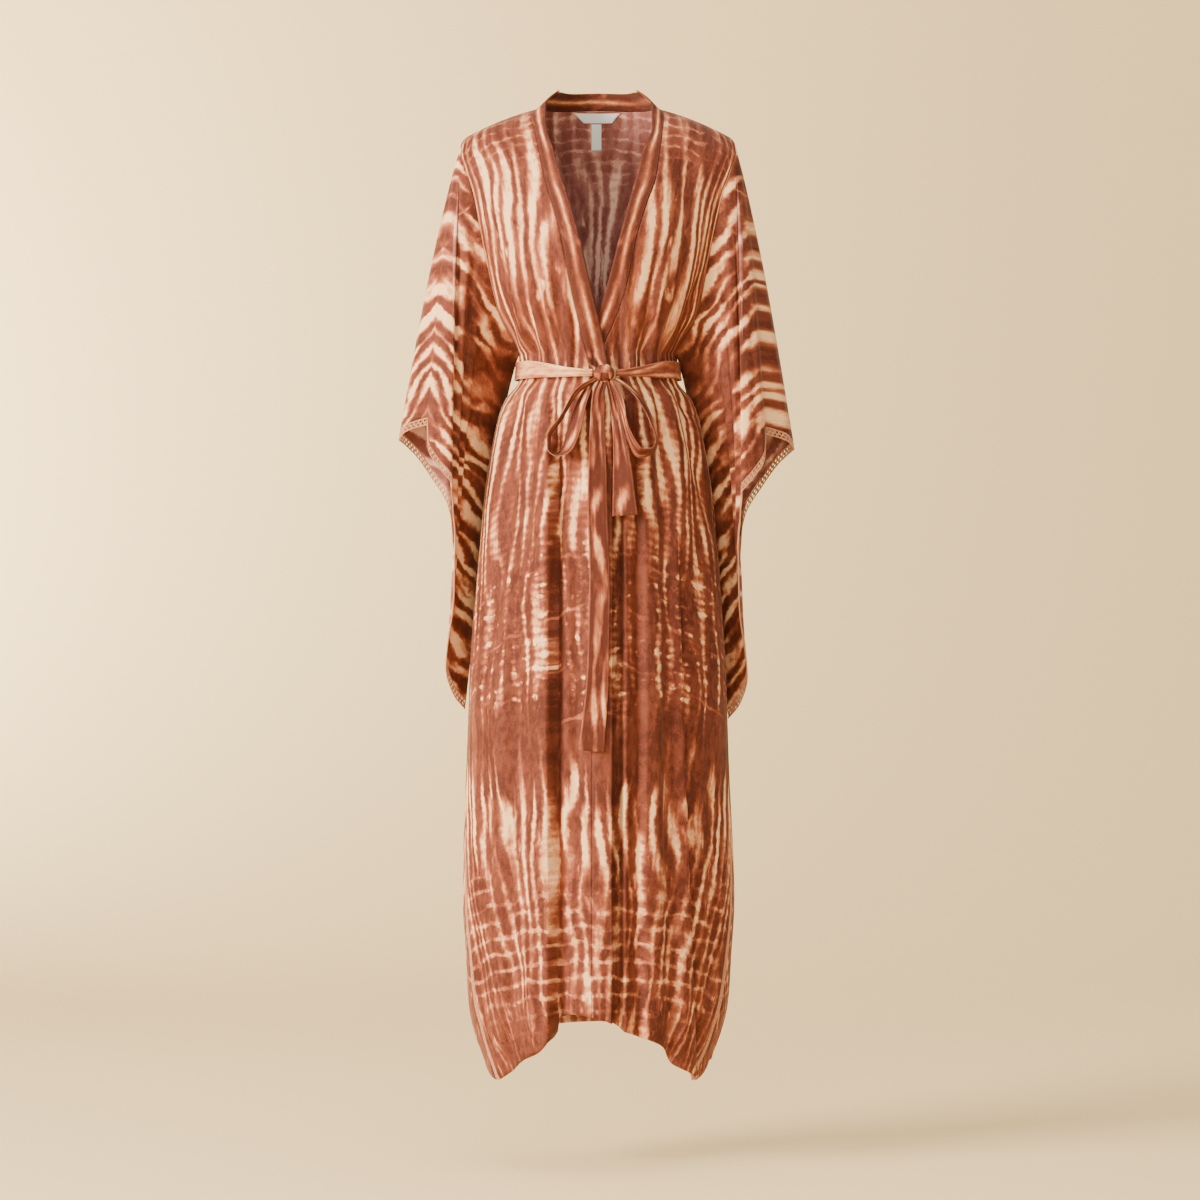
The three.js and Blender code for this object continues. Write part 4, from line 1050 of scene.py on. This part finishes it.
def band_dye(group):
    """How light the neckband is: a streak along it, and below the belt the body's own dye."""
    tree, across, down, sink = new_group("band_dye")
    u = across * 1000
    v = down * 1000
    su, sv = watery(u, v)
    strength = noise(u, v, 30, 90, 2.0, 112.0).step(0.24, 0.5, 0.35, 0.95)
    along = window(su * 0.35 + u * 0.65, 11, 17, 4.5) * strength
    along = along.calc("MAXIMUM", noise(su, sv, 12, 34, 2.0, 113.0).step(0.54, 0.76) * 0.5)
    low = v.step(BAND_TURNS["from"], BAND_TURNS["to"])
    light = (along + grain(u, v)) * (1 - low) + use_group(group, across, down) * low
    tree.links.new(light.socket, sink.inputs[0])
    return tree


PALE_BELT = {"from": 1400, "to": 1470}
RUST_BELT = {"from": 880, "to": 1060, "soft": 20}


def belt_dye():
    """How light the belt is: a few long streaks, and light edges where it is pressed."""
    tree, across, down, sink = new_group("belt_dye")
    u = across * 1000
    v = down * 1000
    su, sv = watery(u, v)
    field = columns_of(su * 0.4 + u * 0.6, sv, 19, 160, 121.0)
    pale = v.step(PALE_BELT["from"], PALE_BELT["to"]) * (field * 0.3 + 0.6)
    middling = window(v, RUST_BELT["from"], RUST_BELT["to"], RUST_BELT["soft"]) * (field * 0.5 + 0.22)
    along = (field + (noise(u, v, 60, 90, 1.0, 123.0) - 0.5) * 1.2).step(0.4, 1.0) * 0.75
    edge = u.calc("ABSOLUTE").step(13.6, 16.6) * 0.42
    light = along.calc("MAXIMUM", edge).calc("MAXIMUM", pale + middling)
    tree.links.new((light + grain(u, v)).socket, sink.inputs[0])
    return tree


def linear(red, green, blue):
    """A colour as measured on a screen, turned into the light that it stands for."""
    return [*[((c / 255 + 0.055) / 1.055) ** 2.4 for c in (red, green, blue)], 1.0]


FACE_COLOURS = [
    (0.0, (80, 37, 24)),
    (0.2, (106, 52, 35)),
    (0.4, (130, 67, 45)),
    (0.6, (162, 94, 63)),
    (0.8, (204, 142, 96)),
    (1.0, (232, 186, 136)),
]
BACK_COLOURS = [(0.0, (120, 70, 60)), (0.4, (156, 100, 88)), (0.75, (200, 150, 128)), (1.0, (226, 184, 160))]
THREAD_PITCH = 0.62
WEAVE_HEIGHT = 0.06
CRINKLE_HEIGHT = 0.55


def new_material(name, roughness, sheen):
    """A material, its shader, and the place on the cloth in metres, across and down."""
    material = bpy.data.materials.new(name)
    material.use_nodes = True
    tree = material.node_tree
    shader = tree.nodes["Principled BSDF"]
    shader.inputs["Roughness"].default_value = roughness
    shader.inputs["Sheen Weight"].default_value = sheen
    flat = tree.nodes.new("ShaderNodeUVMap")
    flat.uv_map = "cloth"
    apart = tree.nodes.new("ShaderNodeSeparateXYZ")
    tree.links.new(flat.outputs[0], apart.inputs[0])
    return material, shader, Wire(tree, apart.outputs[0]), Wire(tree, apart.outputs[1])


def add_bump(shader, height, strength, distance):
    bump = height.tree.nodes.new("ShaderNodeBump")
    bump.inputs["Strength"].default_value = strength
    bump.inputs["Distance"].default_value = distance
    height.tree.links.new(height.socket, bump.inputs["Height"])
    height.tree.links.new(bump.outputs[0], shader.inputs["Normal"])


def cloth_material(name, group, colours):
    """Dyed cloth, with its weave and fine crinkles."""
    material, shader, across, down = new_material(name, roughness=0.66, sheen=0.12)
    tree = material.node_tree
    shader.inputs["Sheen Roughness"].default_value = 0.45
    shader.inputs["Sheen Tint"].default_value = (1.0, 0.62, 0.46, 1.0)
    shader.inputs["Specular IOR Level"].default_value = 0.1
    u, v = across / MM, down / MM
    ramp = tree.nodes.new("ShaderNodeValToRGB")
    ramp.color_ramp.interpolation = "EASE"
    stops = ramp.color_ramp.elements
    while len(stops) < len(colours):
        stops.new(0.5)
    for stop, (place, colour) in zip(stops, colours):
        stop.position = place
        stop.color = linear(*colour)
    tree.links.new(use_group(group, across, down).socket, ramp.inputs[0])
    tree.links.new(ramp.outputs[0], shader.inputs["Base Color"])
    weave = u.wave(THREAD_PITCH) + v.wave(THREAD_PITCH)
    crinkle = noise(u, v, 3.4, 5.2, 3.0, 141.0)
    add_bump(shader, weave * WEAVE_HEIGHT + crinkle * CRINKLE_HEIGHT, strength=0.5, distance=MM * 0.7)
    return material


def plain_material(name, colour, roughness, sheen, pitch, height):
    """Cloth or thread of one colour, with a fine weave."""
    material, shader, across, down = new_material(name, roughness, sheen)
    shader.inputs["Base Color"].default_value = linear(*colour)
    weave = (across / MM).wave(pitch) + (down / MM).wave(pitch)
    add_bump(shader, weave, strength=0.6, distance=MM * height)
    return material


body_group = body_dye()
sleeve_group = sleeve_dye()
band_group = band_dye(body_group)
belt_group = belt_dye()
body_face = cloth_material("body_face", body_group, FACE_COLOURS)
body_back = cloth_material("body_back", body_group, BACK_COLOURS)
sleeve_face = cloth_material("sleeve_face", sleeve_group, FACE_COLOURS)
sleeve_back = cloth_material("sleeve_back", sleeve_group, BACK_COLOURS)
band_face = cloth_material("band_face", band_group, FACE_COLOURS)
belt_face = cloth_material("belt_face", belt_group, FACE_COLOURS)
lace_thread = plain_material("lace_thread", (188, 124, 80), roughness=0.6, sheen=0.3, pitch=0.8, height=0.25)
LABEL_COLOUR = (228, 234, 229)
label_cloth = plain_material("label_cloth", LABEL_COLOUR, roughness=0.45, sheen=0.1, pitch=0.4, height=0.12)
seam_thread = plain_material("seam_thread", (116, 60, 44), roughness=0.6, sheen=0.2, pitch=0.6, height=0.1)


def declare(piece, nodes):
    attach(piece, "root")
    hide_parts(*nodes)
    return piece


STITCH_PITCH = 3.4
STITCH_LENGTH = 2.3
STITCH_WIDE = 0.5
STITCH_HIGH = 0.34


def stitches(name, lines):
    """Rows of small stitches. Each line is its points and the direction that the cloth faces there."""
    shape = np.array([[-1, 0, 0], [0, -1, 0], [0, 0, 1], [0, 1, 0], [1, 0, 0], [0, 0, -1]], float)
    shape = shape * [STITCH_LENGTH / 2, STITCH_WIDE / 2, STITCH_HIGH]
    corners = [[0, 1, 2], [0, 2, 3], [4, 2, 1], [4, 3, 2], [0, 5, 1], [0, 3, 5], [4, 1, 5], [4, 5, 3]]
    corners = np.array(corners)
    points, faces, total = [], [], 0
    for line, normals in lines:
        run = np.concatenate([[0], np.cumsum(np.linalg.norm(np.diff(line, axis=0), axis=1))])
        count = max(int(run[-1] / STITCH_PITCH), 1)
        at = (np.arange(count) + 0.5) * run[-1] / count
        middle, ahead, behind, up = (
            np.stack([np.interp(place, run, values[:, k]) for k in range(3)], axis=-1)
            for place, values in ((at, line), (at + 0.5, line), (at - 0.5, line), (at, normals))
        )
        up = unit(up)
        along = unit(ahead - behind)
        beside = unit(np.cross(up, along))
        spots = (
            middle[:, None]
            + along[:, None] * shape[None, :, :1]
            + beside[:, None] * shape[None, :, 1:2]
            + up[:, None] * shape[None, :, 2:]
        )
        points.append(spots.reshape(-1, 3))
        faces.append((corners[None] + (total + np.arange(count) * 6)[:, None, None]).reshape(-1, 3))
        total += count * 6
    points = np.concatenate(points)
    return make_mesh(name, points, np.concatenate(faces), points[:, [0, 2]] * [1, -1], [seam_thread])


# Fronts and back
right_front, right_map = front_grid(-1)
left_front, left_map = front_grid(1)
back, back_map = back_grid()
front_right = wall("front_right", right_front, right_map, CLOTH, [body_face, body_back],
                   first_normals=shoulder_normals(right_front[0]))
front_left = wall("front_left", left_front, left_map, CLOTH, [body_face, body_back],
                  first_normals=shoulder_normals(left_front[0]))
back_piece = wall("back", back, back_map, CLOTH, [body_face, body_back],
                  first_normals=shoulder_normals(back[0]))
declare(front_right, ["front_right"])
declare(front_left, ["front_left"])
declare(back_piece, ["back"])


def make_sleeve(side, name):
    front = left_front if side > 0 else right_front
    column, step = (0, 1) if side > 0 else (-1, -1)
    ring = armhole_ring(front, back, column, step)
    end = 1 - CUFF_LACE_SHARE
    lengths = np.linspace(0, end, SLEEVE_STEPS + 1)
    base = np.full(len(ring["share"]), SEAM)
    rough, _ = sleeve_points(side, ring, lengths, base)
    own = facing(rough, True)[0]
    agree = np.sign((ring["normal"] * own).sum())
    meets = agree * (ring["normal"] * own).sum(axis=1)
    turn = 1 - smooth(MITRE["from"], MITRE["to"], meets)
    mitre = unit(mix(ring["normal"], own * agree, turn[:, None]))
    gap = base + MITRE["gap"] * turn
    grid, flat = sleeve_points(side, ring, lengths, gap)
    grid = grid - facing(grid, True) * agree * sleeve_sunk(ring, lengths)[..., None]
    flat = turned_map(side, ring, flat)
    tube = wall(f"sleeve_{name}", grid, flat, CLOTH, [sleeve_face, sleeve_back], True, mitre)
    declare(tube, [f"sleeve_{name}"])
    lace_lengths = np.linspace(end + 0.0008, 1, 5)
    strip_grid, _ = sleeve_points(side, ring, lace_lengths, gap)
    sunk_here = sleeve_sunk(ring, lace_lengths)
    strip_grid = strip_grid - facing(strip_grid, True) * agree * sunk_here[..., None]
    trim = lace(f"cuff_lace_{name}", strip_grid, True, CUFF_PITCH, CUFF_HOLE, lace_thread)
    declare(trim, [f"cuff_lace_{name}"])
    return tube, trim


CUFF_PITCH = 6.5
CUFF_HOLE = 3.5
SIDE_PITCH = 6.2
SIDE_HOLE = 2.3
SIDE_LACE_POINT = 0.06

sleeve_right, cuff_right = make_sleeve(-1, "right")
sleeve_left, cuff_left = make_sleeve(1, "left")


def make_side_lace(side, name):
    is_open = IN_SKIRT & (side_gap() > SIDE_LACE_HALF_DEGREES)
    rows = is_open | np.roll(is_open, -1)
    half = np.where(is_open, SIDE_LACE_HALF_DEGREES, SIDE_LACE_POINT) - SEAM / 2 / HALF_WIDTH / DEGREE
    ways = np.linspace(-1, 1, 5)
    angles = side * (seam_angle()[:, None] + ways[None] * half[:, None])
    points = body_points(angles)[rows]
    strip_grid = points.transpose(1, 0, 2).copy()
    trim = lace(f"side_lace_{name}", strip_grid, False, SIDE_PITCH, SIDE_HOLE, lace_thread)
    declare(trim, [f"side_lace_{name}"])
    return trim


side_right = make_side_lace(-1, "right")
side_left = make_side_lace(1, "left")


def make_front_band(side, name):
    key = "left" if side > 0 else "right"
    seam = band_line(f"{key}_seam") - side * SEAM
    edge = band_line(f"{key}_edge")
    lift = np.where(IN_SKIRT, 0, BAND_LIFT * (1 - smooth(0, BAND_LIFT_SHARE, SHARES)))
    shares = np.linspace(0, 1, BAND_STEPS + 1)
    places = mix(seam[:, None], edge[:, None], shares[None])
    angles = angle_at(places)
    points = body_points(angles)
    points[..., 2] += lift[:, None] * shares[None]
    points[0, :, 1] -= SEAM / 2
    if side > 0:
        points = tuck(points)
    on_band = np.broadcast_to(shares[None] * BAND_WIDTH, angles.shape)
    turned = smooth(BAND_MAP_TURNS["from"], BAND_MAP_TURNS["to"], -points[..., 2])
    across = mix(on_band, angles * DEGREE * FLAT_RADIUS, turned)
    uv = np.stack([across, -points[..., 2]], axis=-1)
    piece = wall(f"neckband_{name}", points, uv, BAND_CLOTH, [band_face, band_face], soft_edge=0.4)
    return declare(piece, [f"neckband_{name}"]), points


band_right, right_band = make_front_band(-1, "right")
band_left, left_band = make_front_band(1, "left")


def make_back_band():
    x = np.linspace(-NECK_HALF, NECK_HALF, 61)
    angles = 180 - np.arcsin(x / HALF_WIDTH[0]) / DEGREE
    seam = chest_point(angles, np.zeros(len(x)))
    seam[:, 1] += BACK_BAND["out"]
    edge_y = mix(RIDGE, seam[:, 1], BACK_BAND["lean"])
    edge = np.stack([x * BACK_BAND["narrow"], edge_y, seam[:, 2] + BACK_BAND["high"]], axis=-1)
    rise = unit(edge - seam)
    low = seam + rise * BACK_BAND["up"]
    shares = np.linspace(0, 1, BAND_STEPS + 1)
    grid = low[:, None] + (edge - low)[:, None] * shares[None, :, None]
    flat = x[:, None] * BACK_BAND_MAP["scale"] + BACK_BAND_MAP["from"]
    uv = np.stack(np.broadcast_arrays(shares[None] * BAND_WIDTH, flat), axis=-1)
    piece = wall("neckband_back", grid, uv, BAND_CLOTH, [band_face, band_face], soft_edge=0.4)
    return declare(piece, ["neckband_back"])


band_back = make_back_band()


def make_waist_belt():
    half = float(skirt["half"](-BELT_MIDDLE))
    end = math.asin((KNOT["x"] - KNOT["wide"] / 2 - KNOT_GAP) / float(chest["half"](1))) / DEGREE
    start = math.asin((KNOT["x"] + KNOT["wide"] / 2 + KNOT_GAP) / float(chest["half"](1))) / DEGREE
    angle = np.linspace(start, 360 + end, 400)
    near = np.maximum(smooth(BELT_NARROWS, start, angle), smooth(360 - BELT_NARROWS, 360 + end, angle))
    across = np.sin(angle * DEGREE)
    ahead = np.cos(angle * DEGREE)
    high = mix(BELT_HALF_HEIGHT, KNOT["high"] * BELT_AT_KNOT, near)
    level = mix(BELT_MIDDLE, KNOT["z"], near)
    reach = KNOT["y"] - float(skirt["front"](-BELT_MIDDLE)) + BELT_OUT
    ways = np.linspace(-1, 1, 17)
    below = -(level[:, None] + ways[None] * high[:, None])
    middle = np.where(ahead[:, None] > 0, skirt["front"](below), skirt["back"](below))
    squeeze = 1 - high / BELT_HALF_HEIGHT
    pleat = np.cos(ways * 7.2 + 0.5)[None] * (0.35 + 1.9 * squeeze[:, None])
    pleat = pleat + 0.5 * np.sin(angle * 0.12)[:, None] * ways
    y = mix(float(chest["front_seam"](1)), middle, np.abs(ahead)[:, None])
    y = y - (BELT_OUT + pleat * 0.5) * ahead[:, None] + reach * (near**2)[:, None]
    x = (skirt["half"](below) + BELT_OUT + pleat * 0.5) * across[:, None]
    grid = np.stack([x, y, -below], axis=-1)
    run = (angle * DEGREE * half)[:, None] + BELT_MAP_START
    uv = np.stack(np.broadcast_arrays(ways[None] * FULL_WIDTH / 2, run), axis=-1)
    piece = wall("belt_waist", grid, uv, BELT_CLOTH, [belt_face, belt_face], soft_edge=0.5)
    return declare(piece, ["belt_waist"]), grid


belt_waist, belt_grid = make_waist_belt()

# The knot's wraps: where each one's middle lies across, how wide it is and how far it leans
WRAPS = table(
    "at wide lean",
    (-0.42, 0.36, 0.22), (0.18, 0.3, 0.1), (0.62, 0.24, -0.15),
)


def make_knot():
    """The knot: cloth wrapped over the belt in uneven turns, drawn in between them."""
    rows, count = 72, 96
    t = np.linspace(-1, 1, rows)[:, None]
    turn = np.linspace(0, 2 * math.pi, count, endpoint=False)[None]
    swell = np.zeros((rows, count))
    for wrap in WRAPS:
        off = (t - wrap["at"] - wrap["lean"] * np.sin(turn)) / wrap["wide"]
        swell = np.maximum(swell, np.sqrt(np.clip(1 - off**2, 0, 1)))
    ends = np.sqrt(np.clip(1 - (np.abs(t) ** 3.2), 0, 1))
    radius = ends * (0.74 + 0.22 * swell + 0.02 * np.cos(turn * 7 + t * 9))
    y = -np.cos(turn) * radius * KNOT["deep"] / 2
    z = np.sin(turn) * radius * KNOT["high"] / 2
    x = np.broadcast_to(t * KNOT["wide"] / 2 * 0.98, radius.shape)
    points = np.stack([KNOT["x"] + x, KNOT["y"] + y, KNOT["z"] + z], axis=-1)
    quads = tube_faces(0, rows, count, False)
    flat = points.reshape(-1, 3)
    if signed_volume(flat, quads) < 0:
        quads = quads[:, ::-1]
    uv = np.stack(np.broadcast_arrays((t * 13), turn * 9 + 40), axis=-1).reshape(-1, 2)
    declare(make_mesh("belt_knot_cloth", flat, quads, uv, [belt_face]), ["belt_knot"])


make_knot()
loop_right, _ = strip("bow_loop_right", RIGHT_LOOP, 120, belt_face)
loop_left, _ = strip("bow_loop_left", LEFT_LOOP, 120, belt_face)
tail_right, long_tail = strip("belt_tail_right", RIGHT_TAIL, 160, belt_face, slope=-0.1)
tail_left, short_tail = strip("belt_tail_left", LEFT_TAIL, 90, belt_face, slope=0.16)
declare(loop_right, ["bow_loop_right"])
declare(loop_left, ["bow_loop_left"])
declare(tail_right, ["belt_tail_right"])
declare(tail_left, ["belt_tail_left"])

LABEL = {"top_right": -34, "top_left": 31, "low_right": -20, "low_left": 19, "top": 5, "low": -8}
SIZE_TAG = {"top_right": -9, "top_left": 4.6, "low_right": -9, "low_left": 4.6, "top": -9.5, "low": -45}
LABEL_GAP = 0.8
LABEL_STEPS = 16


def make_label(name, piece):
    """A bare label on the inside of the back."""
    shares = np.linspace(0, 1, LABEL_STEPS + 1)
    levels = mix(piece["top"], piece["low"], shares)
    start = mix(piece["top_right"], piece["low_right"], shares)
    end = mix(piece["top_left"], piece["low_left"], shares)
    x = mix(start[:, None], end[:, None], shares[None])
    half = float(chest["half"](0))
    tries = np.linspace(0, 0.3, 301)
    line = chest_point(180 - np.arcsin(x[..., None] / half) / DEGREE, tries[None, None])
    found = np.argmax(line[..., 2] <= levels[:, None, None], axis=-1)
    grid = np.take_along_axis(line, found[..., None, None], axis=2)[:, :, 0]
    grid[..., 0] = x
    grid[..., 2] = levels[:, None]
    grid[..., 1] -= CLOTH / 2 + LABEL_GAP + LABEL_CLOTH / 2
    uv = np.stack([grid[..., 0], -grid[..., 2]], axis=-1)
    made = wall(name, grid, uv, LABEL_CLOTH, [label_cloth, label_cloth])
    return declare(made, [name])


label = make_label("label", LABEL)
size_tag = make_label("size_tag", SIZE_TAG)


# Stitching along the seams, hems and belt edges
def front_face(grid):
    normals = facing(grid)
    away = (normals * grid * [1, 1, 0]).sum(axis=-1)
    return normals * (1 if away.mean() > 0 else -1)


HEM_ROWS = 6


def hem_line(grid, thick):
    normals = front_face(grid)
    row = -1 - HEM_ROWS
    return grid[row] + normals[row] * thick / 2, normals[row]


def side_line(grid, thick, column):
    normals = front_face(grid)
    return grid[:, column] + normals[:, column] * thick / 2, normals[:, column]


def flat_face(grid):
    normals = facing(grid)
    return normals * (-1 if normals[..., 1].mean() > 0 else 1)


def strip_lines(grid, thick):
    normals = flat_face(grid)
    return [(grid[:, c] + normals[:, c] * thick / 2, normals[:, c]) for c in (1, grid.shape[1] - 2)]


body_stitches = stitches("stitching_body", [
    hem_line(right_front, CLOTH),
    hem_line(left_front, CLOTH),
    hem_line(back, CLOTH),
    side_line(right_band, BAND_CLOTH, 1),
    side_line(right_band, BAND_CLOTH, BAND_STEPS - 1),
    side_line(left_band, BAND_CLOTH, 1),
    side_line(left_band, BAND_CLOTH, BAND_STEPS - 1),
])
belt_stitches = stitches("stitching_belt", [
    *strip_lines(long_tail, BOW_CLOTH),
    *strip_lines(short_tail, BOW_CLOTH),
    *strip_lines(belt_grid, BELT_CLOTH),
])
for thread, slot in ((body_stitches, "cloth"), (belt_stitches, "belt")):
    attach(thread, "root")

# Camera, light and ground
CAMERA_FAR = 5.0
camera_data = bpy.data.cameras.new("camera")
camera_data.sensor_width = 36
camera_data.lens = 109.5
camera = bpy.data.objects.new("camera", camera_data)
camera.location = (0.0027, -CAMERA_FAR, -0.669)
camera.rotation_euler = (math.pi / 2, 0, 0)
bpy.context.collection.objects.link(camera)
bpy.context.scene.camera = camera

GROUND = -1.443
SWEEP_WALL = 6.4
SWEEP_RADIUS = 4.0
SWEEP_HALF = 7.0
SWEEP_TOP = 5.0
SWEEP_NEAR = -6.0
PAPER = (244, 214, 156)


def make_sweep():
    """A paper sweep: flat ground that curves up into a wall behind the coat."""
    bend = np.linspace(0, math.pi / 2, 25)
    y = [SWEEP_NEAR, *(SWEEP_WALL - SWEEP_RADIUS + SWEEP_RADIUS * np.sin(bend)), SWEEP_WALL]
    z = [GROUND, *(GROUND + SWEEP_RADIUS * (1 - np.cos(bend))), SWEEP_TOP]
    x = np.array([-SWEEP_HALF, SWEEP_HALF])
    grid = np.stack(np.broadcast_arrays(x[None], np.array(y)[:, None], np.array(z)[:, None]), axis=-1) / MM
    count = len(y)
    a = np.arange(count - 1) * 2
    quads = np.stack([a, a + 1, a + 3, a + 2], axis=1)
    sweep = make_mesh("sweep", grid.reshape(-1, 3), quads)
    material = bpy.data.materials.new("paper")
    material.use_nodes = True
    shader = material.node_tree.nodes["Principled BSDF"]
    shader.inputs["Base Color"].default_value = linear(*PAPER)
    shader.inputs["Roughness"].default_value = 0.9
    sweep.data.materials.append(material)
    return sweep


sweep = make_sweep()


def area_light(name, place, aim, size, power, colour):
    data = bpy.data.lights.new(name, "AREA")
    data.shape = "RECTANGLE"
    data.size, data.size_y = size
    data.energy = power
    data.color = colour
    light = bpy.data.objects.new(name, data)
    light.location = place
    light.rotation_euler = (Vector(aim) - Vector(place)).to_track_quat("-Z", "Y").to_euler()
    bpy.context.collection.objects.link(light)
    return light


key = area_light("key", (-4.4, -2.9, 0.9), (0, 0, -0.6), (2.4, 2.8), 900, (1.0, 0.95, 0.88))
fill = area_light("fill", (-0.8, -5.6, 0.4), (0, 0, -0.7), (3.2, 3.0), 150, (1.0, 0.94, 0.88))
over = area_light("over", (0, -0.6, 2.6), (0, 0.4, -0.8), (3.0, 2.0), 60, (1.0, 0.95, 0.9))
backdrop = area_light("backdrop", (-3.4, 3.7, -0.1), (-1.9, 6.2, -0.7), (1.4, 3.2), 420, (1.0, 0.95, 0.88))

world = bpy.data.worlds.new("room")
world.use_nodes = True
world.node_tree.nodes["Background"].inputs[0].default_value = (1.0, 0.96, 0.91, 1.0)
world.node_tree.nodes["Background"].inputs[1].default_value = 0.7
bpy.context.scene.world = world
